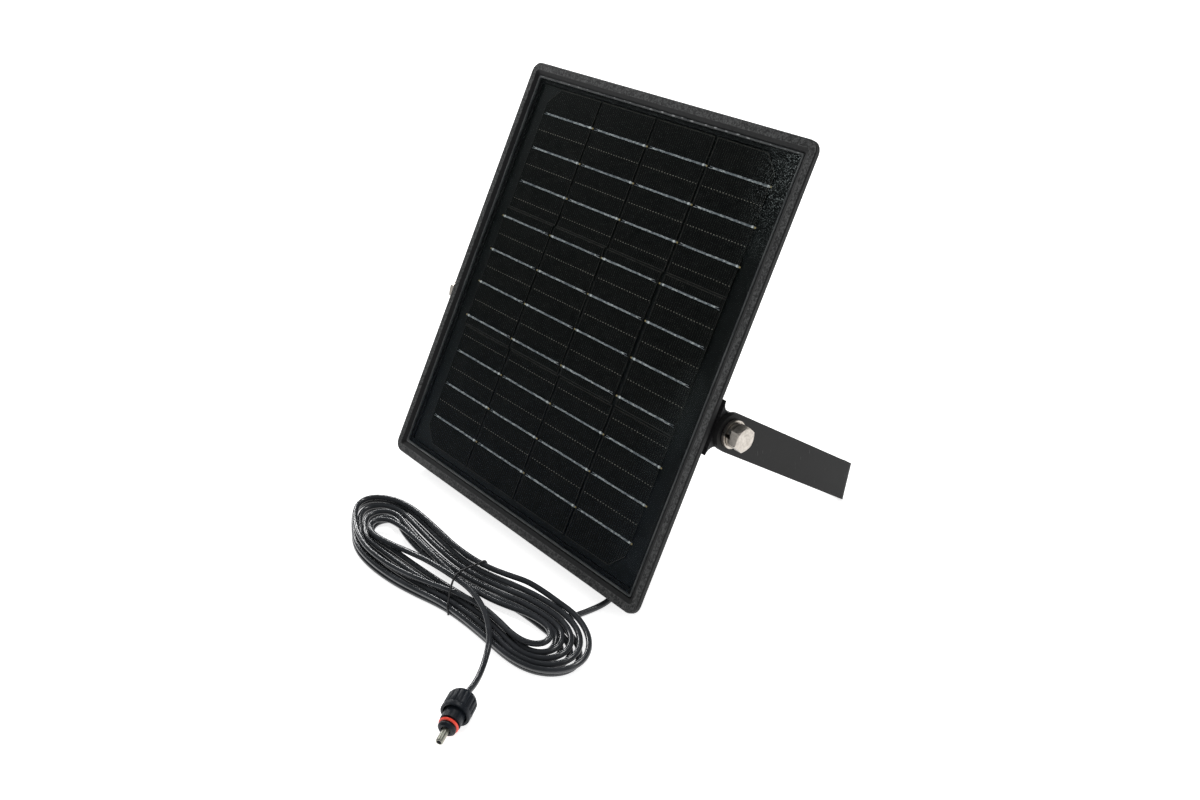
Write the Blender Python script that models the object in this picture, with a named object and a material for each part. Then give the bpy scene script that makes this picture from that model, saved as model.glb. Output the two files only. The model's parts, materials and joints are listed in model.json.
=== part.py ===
"""Framed solar panel for a security camera, on a U bracket, with its tied cable and plug.

Metres, +Z up.  The panel leans back on its bracket like an easel: the lower rear edge of
the case and the lower edge of the bracket's bar stand on z = 0.  +X is to the viewer's
right and the cells face -Y and up.  The origin is under the middle of the panel and
bracket.

Two local frames are used, both with their origin on the pivot axis midway between the
two bolts.  In the panel's, x runs across, y up the face and z out of the face.  In the
bracket's, x runs across and the arms run along -z.
"""
import math

import bmesh
import bpy
from mathutils import Matrix, Vector

GAP = 0.0003                        # clearance between neighbouring pieces

# Panel outline and the place of the pivot axis in it
PANEL_WIDTH = 0.1852
PANEL_HEIGHT = 0.2055
PANEL_CORNER = 0.005
PIVOT_UP = 0.0848                   # axis above the panel's lower edge
PIVOT_BACK = 0.0118                 # axis behind the rim's front face

# Rim section: distances in from the outer edge, and depths behind the front face
RIM_DEPTH = 0.0022
RIM_FLAT = 0.0034
RIM_SLOPE_END = 0.0054
RIM_SLOPE_DEPTH = 0.0009
GLASS_POCKET = 0.0057
LEDGE_DEPTH = 0.0021
LEDGE_END = 0.0088
FRAME_STEP = 0.0043
FRAME_DEPTH = 0.0040

# Laminate: a clear cover over twelve cut cells on a black board
GLASS_TOP = 0.0006
GLASS_THICK = 0.0010
SEAL_WIDTH = 0.0009
CELL_WIDTH = 0.0366
CELL_HEIGHT = 0.0611
CELL_THICK = 0.0003
CELL_CHAMFER = 0.0073
COLUMN_GAP = 0.0014
ROW_GAP = 0.00045
COLUMNS, ROWS = 4, 3
ARRAY_SHIFT = 0.0011                # array centre above the panel's centre
SPLIT_ROW, SPLIT_COLUMN = 1, 3      # where a wider gap stands in the middle row
SPLIT_GAP = 0.0011                  # how much wider
BOARD_THICK = 0.0012

# Case behind the frame
CASE_DEPTH = 0.020
CASE_INSET = 0.0028
CASE_LIP_WALL = 0.0012
CASE_LIP_DEPTH = 0.0045
CASE_BACK_INSET = 0.016
CASE_WALL = 0.0018
CASE_FOOT_RADIUS = 0.002
EAR_OUTER = 0.0928
EAR_INNER = 0.0828
EAR_RADIUS = 0.0075
EAR_FILLET = 0.0045
POST_RADIUS = 0.0034                # screw posts on the board's back
POST_BORE = 0.0016
POST_END = 0.0085                   # depth they reach to
BOSS_RADIUS = 0.0046                # matching bosses in the case
COUNTERBORE_RADIUS = 0.0033
COUNTERBORE = 0.0032
SCREW_X = 0.060
SCREW_ROWS = (-0.058, 0.020, 0.096)  # heights of the case screws from the pivot

# Terminal board and its blocking diode, behind the cells
TERMINAL_WIDTH, TERMINAL_HEIGHT, TERMINAL_THICK = 0.046, 0.024, 0.0016
TERMINAL_Y = -0.040
DIODE_RADIUS, DIODE_LENGTH = 0.0014, 0.007

# Case screws: a pan head and a plain core
SCREW_HEAD_RADIUS = 0.0028
SCREW_CORE_RADIUS = 0.0013
SCREW_CLEARANCE = 0.0017

# Pivot bolts (M6) and what is on them
BOLT_RADIUS = 0.003
BOLT_HOLE = 0.0033
BOLT_HEAD_FLATS = 0.010
BOLT_HEAD = 0.004
BOLT_TURN = 12                      # how far its head's corners are turned, in degrees
BOLT_END = 0.0856                   # how near the middle its tip reaches
FLAT_WASHER = 0.0014
FLAT_WASHER_RADIUS = 0.0062
SPRING_WASHER = 0.0015
SPRING_WASHER_RADIUS = 0.0053
INSERT_RADIUS = 0.0042
INSERT_LENGTH = 0.007

# Bracket: a strip folded into a U, whose bar is narrower than the arms
ARM_FACE = 0.0956                   # outer face of an arm, from the middle
ARM_HALF_WIDTH = 0.0084
STRIP_THICK = 0.0025
BEND_RADIUS = 0.004
ARM_BACK = 0.0990                   # pivot to the arm's lower far corner
END_SKEW = math.radians(21.5)       # fold line against a square end
ARM_TILT = math.radians(-6.75)      # arms against the panel's normal, as stored
BAR_WIDTH = 0.0125
CORNER_ROUND = 0.0010
SCREW_HOLE = 0.0026                 # radius of its three wall holes
SCREW_HOLE_SPACING = 0.045

# Cable, plug and where they lie
CORD = 0.0026                       # diameter
GLAND_X = 0.0714
GLAND_BACK = 0.008
GLAND_LENGTH = 0.0026
GLAND_FLANGE_RADIUS = 0.0032
GLAND_NECK_RADIUS = 0.0023
HANK_HEIGHT = 0.0095
HANK_BASE = 0.0002
HANK_LEFT = (-0.0401, -0.1045, 0.0325, 0.0195)       # lobe's centre and half sizes
HANK_RIGHT = (0.0621, -0.0965, 0.0315, 0.0190)
TIE_THICK = 0.0012
TIE_REAR = Vector((0.0159, -0.0856))     # where the tie comes down the bundle's sides
TIE_FRONT = Vector((0.0291, -0.1168))
PLUG_REAR = Vector((0.0770, -0.1395, 0.0065))
PLUG_AIM = Vector((0.511, -0.859, -0.020)).normalized()

# Plug, measured along its axis from the back of its body
NUT_START, NUT_END = 0.0006, 0.0104
NUT_RADIUS = 0.0059
NUT_BORE = 0.0049
NUT_RIB = 0.0003
NUT_RIBS = 18
BODY_RADIUS, NOSE_RADIUS, BODY_END = 0.0043, 0.0037, 0.0186
NECK_RADIUS, NECK_END = 0.0022, 0.0033
O_RING_AT, O_RING_RADIUS, O_RING_THICK = 0.0159, 0.0036, 0.0006
SLEEVE_RADIUS, SLEEVE_BORE, SLEEVE_END = 0.0015, 0.0010, 0.0244
CORE_RADIUS, CORE_END = 0.0007, 0.0242

ORIGIN_TO_PIVOT_Y = -0.0083         # pivot axis against the middle of the footprint


# ---------------------------------------------------------------- scene and materials

for old in list(bpy.data.objects):
    bpy.data.objects.remove(old, do_unlink=True)


def material(name, colour, roughness, metallic=0.0):
    made = bpy.data.materials.new(name)
    made.use_nodes = True
    shader = made.node_tree.nodes["Principled BSDF"]
    shader.inputs["Base Color"].default_value = (*colour, 1.0)
    shader.inputs["Roughness"].default_value = roughness
    shader.inputs["Metallic"].default_value = metallic
    made.diffuse_color = (*colour, 1.0)
    return made


FRAME_PLASTIC = material("frame_plastic", (0.045, 0.046, 0.047), 0.62)
CASE_PLASTIC = material("case_plastic", (0.022, 0.023, 0.024), 0.5)
CLEAR_COVER = material("clear_cover", (0.05, 0.06, 0.07), 0.08)
SEALANT = material("sealant", (0.10, 0.11, 0.115), 0.35)
SILICON = material("silicon", (0.010, 0.011, 0.014), 0.3)
BLACK_BOARD = material("black_board", (0.008, 0.010, 0.013), 0.35)
CIRCUIT_BOARD = material("circuit_board", (0.03, 0.16, 0.07), 0.5)
DIODE_BLACK = material("diode_black", (0.02, 0.02, 0.02), 0.45)
STAINLESS = material("stainless", (0.62, 0.59, 0.55), 0.3, 1.0)
BRASS = material("brass", (0.72, 0.55, 0.25), 0.35, 1.0)
PAINTED_STEEL = material("painted_steel", (0.024, 0.024, 0.025), 0.5)
CABLE_PVC = material("cable_pvc", (0.015, 0.016, 0.018), 0.3)
TIE_PVC = material("tie_pvc", (0.012, 0.012, 0.013), 0.4)
PLUG_PVC = material("plug_pvc", (0.020, 0.022, 0.026), 0.45)
SILICONE_RED = material("silicone_red", (0.80, 0.07, 0.03), 0.35)
PLATED = material("plated", (0.36, 0.35, 0.30), 0.28, 1.0)


# ------------------------------------------------------------------------ mesh helpers

def new_object(name, mesh, shader, parent=None, smooth=None):
    obj = bpy.data.objects.new(name, mesh)
    bpy.context.scene.collection.objects.link(obj)
    if shader is not None:
        mesh.materials.append(shader)
    if parent is not None:
        obj.parent = parent
    if smooth is not None:
        mesh.shade_smooth()
        mesh.set_sharp_from_angle(angle=math.radians(smooth))
    return obj


def mesh_from(name, points, faces):
    mesh = bpy.data.meshes.new(name)
    mesh.from_pydata([tuple(p) for p in points], [], faces)
    edit = bmesh.new()
    edit.from_mesh(mesh)
    bmesh.ops.recalc_face_normals(edit, faces=edit.faces)
    edit.to_mesh(mesh)
    edit.free()
    mesh.validate()
    return mesh


def arc(cx, cy, radius, start, end, steps):
    """Points on a circle from one angle to another, both ends included, in degrees."""
    turns = [math.radians(start + (end - start) * i / steps) for i in range(steps + 1)]
    return [(cx + radius * math.cos(t), cy + radius * math.sin(t)) for t in turns]


def rounded_rectangle(left, right, low, high, radius, steps=5):
    return (arc(right - radius, high - radius, radius, 0, 90, steps)
            + arc(left + radius, high - radius, radius, 90, 180, steps)
            + arc(left + radius, low + radius, radius, 180, 270, steps)
            + arc(right - radius, low + radius, radius, 270, 360, steps))


def loft(name, rings, closed=False):
    """Skin equal rings of 3-D points; closed joins the last to the first, else capped."""
    count = len(rings[0])
    points = [p for ring in rings for p in ring]
    pairs = len(rings) if closed else len(rings) - 1
    faces = []
    for r in range(pairs):
        low, high = r * count, (r + 1) % len(rings) * count
        for i in range(count):
            j = (i + 1) % count
            faces.append((low + i, low + j, high + j, high + i))
    if not closed:
        faces.append(tuple(reversed(range(count))))
        faces.append(tuple(range(len(points) - count, len(points))))
    return mesh_from(name, points, faces)


def prism(name, outline, low, high, axis="z"):
    """Extrude an outline of (a, b) points along an axis; for x the pair is (y, z)."""
    if axis == "x":
        rings = [[(d, a, b) for a, b in outline] for d in (low, high)]
    else:
        rings = [[(a, b, d) for a, b in outline] for d in (low, high)]
    return loft(name, rings)


def lathe(name, profile, steps, axis="z", start=0.0):
    """Turn a closed profile of (radius, height) points; radius 0 closes on the axis."""
    points, faces, rows = [], [], []
    for radius, height in profile:
        if radius < 1e-9:
            rows.append([len(points)] * steps)
            points.append((0.0, 0.0, height))
            continue
        rows.append(list(range(len(points), len(points) + steps)))
        for i in range(steps):
            turn = start + 2 * math.pi * i / steps
            points.append((radius * math.cos(turn), radius * math.sin(turn), height))
    closed_ring = profile[0][0] > 1e-9 and profile[-1][0] > 1e-9
    last = len(rows) if closed_ring else len(rows) - 1
    for r in range(last):
        a, b = rows[r], rows[(r + 1) % len(rows)]
        for i in range(steps):
            j = (i + 1) % steps
            corners = [a[i], a[j], b[j], b[i]]
            face = [c for k, c in enumerate(corners) if c not in corners[:k]]
            if len(face) > 2:
                faces.append(tuple(face))
    if axis == "x":
        points = [(p[2], p[0], p[1]) for p in points]
    elif axis == "-y":
        points = [(p[0], -p[2], p[1]) for p in points]
    return mesh_from(name, points, faces)


def cutter(name, mesh, parent=None):
    obj = new_object(name, mesh, None, parent)
    obj.hide_render = True
    obj.display_type = "WIRE"
    return obj


def boolean(obj, other, operation):
    step = obj.modifiers.new(operation.lower() + "_" + other.name, "BOOLEAN")
    step.operation = operation
    step.solver = "EXACT"
    step.object = other


def moved(mesh, x=0.0, y=0.0, z=0.0):
    mesh.transform(Matrix.Translation((x, y, z)))
    return mesh


def fillet_centre(before, corner, after, radius):
    """Centre of the arc that rounds a corner of an outline."""
    to_before = (Vector(before) - Vector(corner)).normalized()
    to_after = (Vector(after) - Vector(corner)).normalized()
    half = to_before.angle(to_after) / 2
    return Vector(corner) + (to_before + to_after).normalized() * radius / math.sin(half)


def fillet(before, corner, after, radius, steps=4):
    centre = fillet_centre(before, corner, after, radius)
    ends = []
    for far in (before, after):
        along = (Vector(far) - Vector(corner)).normalized()
        reach = (centre - Vector(corner)).dot(along)
        ends.append(Vector(corner) + along * reach - centre)
    sweep = ends[0].angle_signed(ends[1])
    spun = [Matrix.Rotation(-sweep * i / steps, 2) @ ends[0] for i in range(steps + 1)]
    return [tuple(centre + p) for p in spun]


# ------------------------------------------------------------------- where things stand

# Side view of the bracket in its own frame: corners of the arm as (y, z)
FOLD_LINE = Vector((math.cos(END_SKEW), math.sin(END_SKEW)))
ARM_LOW_CORNER = Vector((-ARM_HALF_WIDTH, -ARM_BACK))
ARM_HIGH_CORNER = ARM_LOW_CORNER + FOLD_LINE * (2 * ARM_HALF_WIDTH / FOLD_LINE.x)
BAR_NORMAL = Vector((FOLD_LINE.y, -FOLD_LINE.x))      # out of the bar's rear face

# Centre of the case's rounded foot in the panel's own side view, as (y, z)
CASE_FOOT = Vector((CASE_INSET + CASE_FOOT_RADIUS - PIVOT_UP,
                    PIVOT_BACK - CASE_DEPTH + CASE_FOOT_RADIUS))


def lean_angle():
    """Lean that puts the case's rounded foot and the bracket's corner on one floor."""
    low = fillet_centre((-ARM_HALF_WIDTH, 0), ARM_LOW_CORNER, ARM_HIGH_CORNER, CORNER_ROUND)
    corner = Matrix.Rotation(ARM_TILT, 2) @ low
    across = corner - CASE_FOOT
    drop = (CORNER_ROUND - CASE_FOOT_RADIUS) / across.length
    return math.atan2(across.y, across.x) + math.acos(drop)


LEAN = lean_angle()
UP = Vector((math.cos(LEAN), math.sin(LEAN)))         # world up in the panel's (y, z)
PIVOT_HEIGHT = CASE_FOOT_RADIUS - CASE_FOOT.dot(UP)

PIVOT = Vector((0.0, ORIGIN_TO_PIVOT_Y, PIVOT_HEIGHT))
PANEL_TURN = math.pi / 2 - LEAN

panel = bpy.data.objects.new("panel_frame", None)
panel.location = PIVOT
panel.rotation_euler = (PANEL_TURN, 0, 0)
bracket_axis = bpy.data.objects.new("bracket_axis", None)
bracket_axis.location = PIVOT
bracket_axis.rotation_euler = (PANEL_TURN + ARM_TILT, 0, 0)
plug_axis = bpy.data.objects.new("plug_axis", None)
plug_axis.location = PLUG_REAR
plug_axis.rotation_mode = "QUATERNION"
plug_axis.rotation_quaternion = PLUG_AIM.to_track_quat("Z", "Y")
for holder in (panel, bracket_axis, plug_axis):
    bpy.context.scene.collection.objects.link(holder)

# Panel edges and the front face in the panel's frame
EDGE_X = PANEL_WIDTH / 2
EDGE_LOW = -PIVOT_UP
EDGE_HIGH = PANEL_HEIGHT - PIVOT_UP
FRONT = PIVOT_BACK
MIDDLE_Y = (EDGE_LOW + EDGE_HIGH) / 2


def inset_outline(inset, steps=5):
    """The panel's outline moved in, its corners kept concentric down to 1 mm."""
    radius = max(PANEL_CORNER - inset, 0.001)
    return rounded_rectangle(-EDGE_X + inset, EDGE_X - inset, EDGE_LOW + inset,
                             EDGE_HIGH - inset, radius, steps)


def ring(inset, depth):
    return [(x, y, FRONT - depth) for x, y in inset_outline(inset)]


# ---------------------------------------------------------------------------- the panel

def make_frame():
    soften = 0.0004
    section = [(0, RIM_DEPTH), (0, soften), (soften, 0), (RIM_FLAT, 0),
               (RIM_SLOPE_END, RIM_SLOPE_DEPTH), (GLASS_POCKET, RIM_SLOPE_DEPTH),
               (GLASS_POCKET, LEDGE_DEPTH), (LEDGE_END, LEDGE_DEPTH),
               (LEDGE_END, FRAME_DEPTH), (FRAME_STEP, FRAME_DEPTH), (FRAME_STEP, RIM_DEPTH)]
    mesh = loft("bezel_frame", [ring(i, d) for i, d in section], closed=True)
    new_object("bezel_frame", mesh, FRAME_PLASTIC, panel, 30)


def make_cover():
    edge = GLASS_POCKET + GAP + SEAL_WIDTH + GAP
    soft = 0.0002
    rings = [ring(edge, GLASS_TOP + GLASS_THICK), ring(edge, GLASS_TOP + soft),
             ring(edge + soft, GLASS_TOP)]
    new_object("glass_cover", loft("glass_cover", rings), CLEAR_COVER, panel, 30)
    out, inner = GLASS_POCKET + GAP, GLASS_POCKET + GAP + SEAL_WIDTH
    top, low = RIM_SLOPE_DEPTH, LEDGE_DEPTH - GAP
    mesh = loft("edge_seal", [ring(out, low), ring(out, top), ring(inner, top),
                              ring(inner, low)], closed=True)
    new_object("edge_seal", mesh, SEALANT, panel)


def make_cells():
    top = FRONT - GLASS_TOP - GLASS_THICK - GAP
    pitch_x = CELL_WIDTH + COLUMN_GAP
    pitch_y = CELL_HEIGHT + ROW_GAP
    for row in range(ROWS):
        for column in range(COLUMNS):
            x = (column - (COLUMNS - 1) / 2) * pitch_x
            if row == SPLIT_ROW and column < SPLIT_COLUMN:
                x -= SPLIT_GAP
            y = MIDDLE_Y + ARRAY_SHIFT + ((ROWS - 1) / 2 - row) * pitch_y
            side = {0: -1, COLUMNS - 1: 1}.get(column, 0)
            end = {0: 1, ROWS - 1: -1}.get(row, 0)
            corners = []
            for sx, sy in ((1, 1), (-1, 1), (-1, -1), (1, -1)):
                px, py = x + sx * CELL_WIDTH / 2, y + sy * CELL_HEIGHT / 2
                if (sx, sy) == (side, end):
                    cut = [(px, py - sy * CELL_CHAMFER), (px - sx * CELL_CHAMFER, py)]
                    corners += cut if sx == sy else cut[::-1]
                else:
                    corners.append((px, py))
            name = f"solar_cell_r{row + 1}_c{column + 1}"
            mesh = prism(name, corners, top - CELL_THICK, top)
            new_object(name, mesh, SILICON, panel)


def screw_places():
    return [(side * SCREW_X, y) for y in SCREW_ROWS for side in (-1, 1)]


BOARD_TOP = GLASS_TOP + GLASS_THICK + GAP + CELL_THICK + GAP
BOARD_BACK = BOARD_TOP + BOARD_THICK


def make_board():
    edge = LEDGE_END + GAP
    board = new_object("backing_board", loft("backing_board", [
        ring(edge, BOARD_BACK), ring(edge, BOARD_TOP)]), BLACK_BOARD, panel)
    for i, (x, y) in enumerate(screw_places()):
        root = -BOARD_TOP - BOARD_THICK / 2
        profile = [(POST_BORE, -POST_END), (POST_RADIUS, -POST_END), (POST_RADIUS, root),
                   (POST_BORE, root)]
        post = cutter(f"post_{i + 1}", moved(lathe("post", profile, 12), x, y, FRONT), panel)
        boolean(board, post, "UNION")
    half_x, half_y = TERMINAL_WIDTH / 2, TERMINAL_HEIGHT / 2
    top = BOARD_BACK + GAP
    low = top + TERMINAL_THICK
    corners = rounded_rectangle(-half_x, half_x, -half_y, half_y, 0.001, 2)
    mesh = prism("terminal_board", corners, FRONT - low, FRONT - top)
    new_object("terminal_board", moved(mesh, 0, TERMINAL_Y, 0), CIRCUIT_BOARD, panel)
    end = DIODE_LENGTH / 2
    body = [(0, -end), (DIODE_RADIUS, -end), (DIODE_RADIUS, end), (0, end)]
    mesh = lathe("blocking_diode", body, 12, axis="x")
    moved(mesh, 0, TERMINAL_Y, FRONT - low - GAP - DIODE_RADIUS)
    new_object("blocking_diode", mesh, DIODE_BLACK, panel, 30)


def case_ring(inset, low_inset, depth, radius):
    outline = rounded_rectangle(-EDGE_X + inset, EDGE_X - inset, EDGE_LOW + low_inset,
                                EDGE_HIGH - inset, radius, 4)
    return [(x, y, FRONT - depth) for x, y in outline]


def make_case():
    """Open tray: a short lip, sides that slope in, and a straight wall at the foot."""
    foot = CASE_FOOT_RADIUS
    wall_in = CASE_INSET + CASE_LIP_WALL
    low_in = CASE_INSET + CASE_WALL
    floor = CASE_DEPTH - CASE_WALL
    rings = [case_ring(CASE_BACK_INSET + 0.0025, low_in + 0.0010, floor, 0.005),
             case_ring(CASE_BACK_INSET + 0.0015, low_in, floor - 0.0012, 0.005),
             case_ring(CASE_INSET + 0.0026, low_in, CASE_LIP_DEPTH + 0.0007, 0.0025),
             case_ring(wall_in, wall_in, CASE_LIP_DEPTH - 0.0003, 0.001),
             case_ring(wall_in, wall_in, RIM_DEPTH + GAP, 0.001),
             case_ring(CASE_INSET, CASE_INSET, RIM_DEPTH + GAP, 0.0022),
             case_ring(CASE_INSET, CASE_INSET, CASE_LIP_DEPTH, 0.0022)]
    for turn in range(0, 91, 18):
        back = math.sin(math.radians(turn)) * foot
        inward = (1 - math.cos(math.radians(turn))) * foot
        rings.append(case_ring(CASE_BACK_INSET + inward, CASE_INSET + inward,
                               CASE_DEPTH - foot + back, 0.006))
    case = new_object("back_case", loft("back_case", rings), CASE_PLASTIC, panel, 30)
    make_ears(case)
    make_screw_bosses(case)
    wide = GLAND_NECK_RADIUS + GAP
    hole = lathe("gland_hole", [(0, -0.001), (wide, -0.001), (wide, 0.004), (0, 0.004)],
                 16, axis="-y")
    moved(hole, GLAND_X, EDGE_LOW + CASE_INSET + 0.002, FRONT - GLAND_BACK)
    boolean(case, cutter("gland_hole", hole, panel), "DIFFERENCE")


def make_ears(case):
    base = FRONT - CASE_LIP_DEPTH
    spread = EAR_RADIUS + EAR_FILLET
    outline = ([(-spread, base)]
               + arc(-spread, base - EAR_FILLET, EAR_FILLET, 90, 0, 5)[1:]
               + arc(0, 0, EAR_RADIUS, 180, 360, 16)
               + arc(spread, base - EAR_FILLET, EAR_FILLET, 180, 90, 5)[:-1]
               + [(spread, base)])
    for side, name in ((-1, "left"), (1, "right")):
        low, high = sorted((side * EAR_INNER, side * EAR_OUTER))
        ear = cutter(f"ear_{name}", prism("ear", outline, low, high, "x"), panel)
        boolean(case, ear, "UNION")
        deep = EAR_OUTER - INSERT_LENGTH - 2 * GAP
        mouth = EAR_OUTER + 0.001
        profile = [(0, side * deep), (INSERT_RADIUS + GAP, side * deep),
                   (INSERT_RADIUS + GAP, side * mouth), (0, side * mouth)]
        bore = cutter(f"ear_bore_{name}", lathe("ear_bore", profile, 24, "x"), panel)
        boolean(case, bore, "DIFFERENCE")


def make_screw_bosses(case):
    for i, (x, y) in enumerate(screw_places()):
        low, high = -CASE_DEPTH + 0.0005, -POST_END - GAP
        wide = [(0, low), (BOSS_RADIUS, low), (BOSS_RADIUS, high), (0, high)]
        boss = cutter(f"boss_{i + 1}", moved(lathe("boss", wide, 16), x, y, FRONT), panel)
        boolean(case, boss, "UNION")
        low, seat, high = -CASE_DEPTH - 0.001, -CASE_DEPTH + COUNTERBORE, -POST_END + 0.001
        bored = [(0, low), (COUNTERBORE_RADIUS, low), (COUNTERBORE_RADIUS, seat),
                 (SCREW_CLEARANCE, seat), (SCREW_CLEARANCE, high), (0, high)]
        hole = cutter(f"boss_hole_{i + 1}", moved(lathe("boss_hole", bored, 16), x, y, FRONT),
                      panel)
        boolean(case, hole, "DIFFERENCE")


def make_case_screws():
    head, core = SCREW_HEAD_RADIUS, SCREW_CORE_RADIUS
    seat = -CASE_DEPTH + COUNTERBORE - GAP
    top = -CASE_DEPTH + 0.0009
    recess, tip = top + 0.0009, -BOARD_BACK - 0.0006
    for i, (x, y) in enumerate(screw_places()):
        profile = [(0, recess), (0.0009, recess), (0.0012, top), (head - 0.0006, top),
                   (head, top + 0.0006), (head, seat), (core, seat), (core, tip - 0.0006),
                   (0, tip)]
        name = f"case_screw_{i + 1}"
        new_object(name, moved(lathe(name, profile, 12), x, y, FRONT), STAINLESS, panel, 30)


def make_gland():
    """Rubber boot: a flange inside the wall, a neck through it and a tapered nose."""
    flange, neck, nose = GLAND_FLANGE_RADIUS, GLAND_NECK_RADIUS, GLAND_LENGTH + GAP
    inside = -CASE_WALL - GAP
    profile = [(0, inside - 0.0012), (flange, inside - 0.0012), (flange, inside),
               (neck, inside), (neck, GAP), (flange, GAP), (flange, GAP + 0.0005),
               (0.0018, nose), (0, nose)]
    mesh = lathe("cable_gland", profile, 16, axis="-y")
    moved(mesh, GLAND_X, EDGE_LOW + CASE_INSET, FRONT - GLAND_BACK)
    new_object("cable_gland", mesh, PLUG_PVC, panel, 30)


# -------------------------------------------------------------------- pivots and bracket

def make_bolt(side, name):
    """Hex bolt whose shank is one turned solid with its chamfered six-sided head."""
    seat = ARM_FACE + GAP + FLAT_WASHER + GAP + SPRING_WASHER + GAP
    top = seat + BOLT_HEAD
    profile = [(0, BOLT_END), (BOLT_RADIUS - 0.0006, BOLT_END),
               (BOLT_RADIUS, BOLT_END + 0.0006), (BOLT_RADIUS, seat + 0.001), (0, seat + 0.001)]
    shank = lathe("shank", [(r, side * h) for r, h in profile], 24, "x")
    corner = BOLT_HEAD_FLATS / math.sqrt(3)
    hexagon = arc(0, 0, corner, BOLT_TURN, BOLT_TURN + 300, 5)
    head = prism("pivot_bolt_" + name, hexagon, *sorted((side * seat, side * top)), "x")
    wide = corner + 0.0002
    dome = [(0, seat - 0.001), (wide, seat - 0.001), (wide, top - 0.0006),
            (BOLT_HEAD_FLATS / 2 - 0.0003, top + 0.00005), (0, top + 0.00005)]
    bolt = new_object("pivot_bolt_" + name, head, STAINLESS, panel)
    dome_mesh = lathe("dome", [(r, side * h) for r, h in dome], 24, "x")
    boolean(bolt, cutter(f"head_dome_{name}", dome_mesh, panel), "INTERSECT")
    boolean(bolt, cutter(f"shank_{name}", shank, panel), "UNION")


def make_washers(side, name):
    low = ARM_FACE + GAP
    flat = [(BOLT_HOLE, low), (FLAT_WASHER_RADIUS, low), (FLAT_WASHER_RADIUS, low + FLAT_WASHER),
            (BOLT_HOLE, low + FLAT_WASHER)]
    mesh = lathe("flat_washer_" + name, [(r, side * h) for r, h in flat], 32, "x")
    new_object("flat_washer_" + name, mesh, STAINLESS, panel, 30)
    low = low + FLAT_WASHER + GAP
    steps, gap_turn = 28, math.radians(9)
    rings = []
    for i in range(steps + 1):
        turn = math.radians(100) + gap_turn + (2 * math.pi - 2 * gap_turn) * i / steps
        c, s = math.cos(turn), math.sin(turn)
        rings.append([(side * h, r * c, r * s) for r, h in (
            (BOLT_HOLE, low), (SPRING_WASHER_RADIUS, low),
            (SPRING_WASHER_RADIUS, low + SPRING_WASHER), (BOLT_HOLE, low + SPRING_WASHER))])
    mesh = loft("spring_washer_" + name, rings)
    new_object("spring_washer_" + name, mesh, STAINLESS, panel, 30)
    end = EAR_OUTER - GAP
    insert = [(BOLT_HOLE, end - INSERT_LENGTH), (INSERT_RADIUS, end - INSERT_LENGTH),
              (INSERT_RADIUS, end), (BOLT_HOLE, end)]
    mesh = lathe("threaded_insert_" + name, [(r, side * h) for r, h in insert], 24, "x")
    new_object("threaded_insert_" + name, mesh, BRASS, panel, 30)


def arm_outline():
    """Side view of an arm: round about the pivot, folded across a slanted line."""
    low = (-ARM_HALF_WIDTH, 0)
    high = (ARM_HALF_WIDTH, 0)
    return (arc(0, 0, ARM_HALF_WIDTH, 0, 180, 20)
            + fillet(low, ARM_LOW_CORNER, ARM_HIGH_CORNER, CORNER_ROUND)
            + fillet(ARM_LOW_CORNER, ARM_HIGH_CORNER, high, CORNER_ROUND))


def fold_section():
    """The U seen along the fold line, as (x, distance out of the bar's rear face)."""
    outer, inner = BEND_RADIUS, BEND_RADIUS - STRIP_THICK
    reach = ARM_BACK + 4 * ARM_HALF_WIDTH
    half = ARM_FACE
    right = (arc(half - outer, -outer, outer, 0, 90, 6),
             arc(half - outer, -outer, inner, 90, 0, 6))
    left = [[(-x, d) for x, d in reversed(side)] for side in right]
    return ([(half, -reach)] + right[0] + left[0] + [(-half, -reach)]
            + [(-half + STRIP_THICK, -reach)] + left[1] + right[1]
            + [(half - STRIP_THICK, -reach)])


def in_fold_frame(x, along, out):
    """A point from the fold line's own frame to the bracket's frame."""
    flat = ARM_LOW_CORNER + FOLD_LINE * along + BAR_NORMAL * out
    return (x, flat.x, flat.y)


def make_bracket():
    section = fold_section()
    rings = [[in_fold_frame(x, along, out) for x, out in section] for along in (-0.06, 0.08)]
    strip = loft("mount_bracket", rings)
    bracket = new_object("mount_bracket", strip, PAINTED_STEEL, bracket_axis, 30)
    wide = ARM_FACE + 0.001
    side_view = cutter("arm_side_view", prism("arm_side_view", arm_outline(), -wide, wide, "x"),
                       bracket_axis)
    boolean(bracket, side_view, "INTERSECT")
    clear = ARM_FACE - BEND_RADIUS - 0.001
    trim = [[in_fold_frame(x, along, out) for x, out in (
        (-clear, -0.006), (clear, -0.006), (clear, 0.004), (-clear, 0.004))]
        for along in (BAR_WIDTH, 0.024)]
    boolean(bracket, cutter("bar_trim", loft("bar_trim", trim), bracket_axis), "DIFFERENCE")
    bore = lathe("pivot_bore", [(0, -wide), (BOLT_HOLE, -wide), (BOLT_HOLE, wide), (0, wide)],
                 24, "x")
    boolean(bracket, cutter("pivot_bore", bore, bracket_axis), "DIFFERENCE")
    middle = BAR_WIDTH / 2
    for i in range(3):
        x = (i - 1) * SCREW_HOLE_SPACING
        circle = arc(x, middle, SCREW_HOLE, 0, 337.5, 15)
        rings = [[in_fold_frame(a, b, out) for a, b in circle] for out in (-0.006, 0.004)]
        hole = cutter(f"wall_hole_{i + 1}", loft("wall_hole", rings), bracket_axis)
        boolean(bracket, hole, "DIFFERENCE")


# ------------------------------------------------------------------------------- cable

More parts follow.
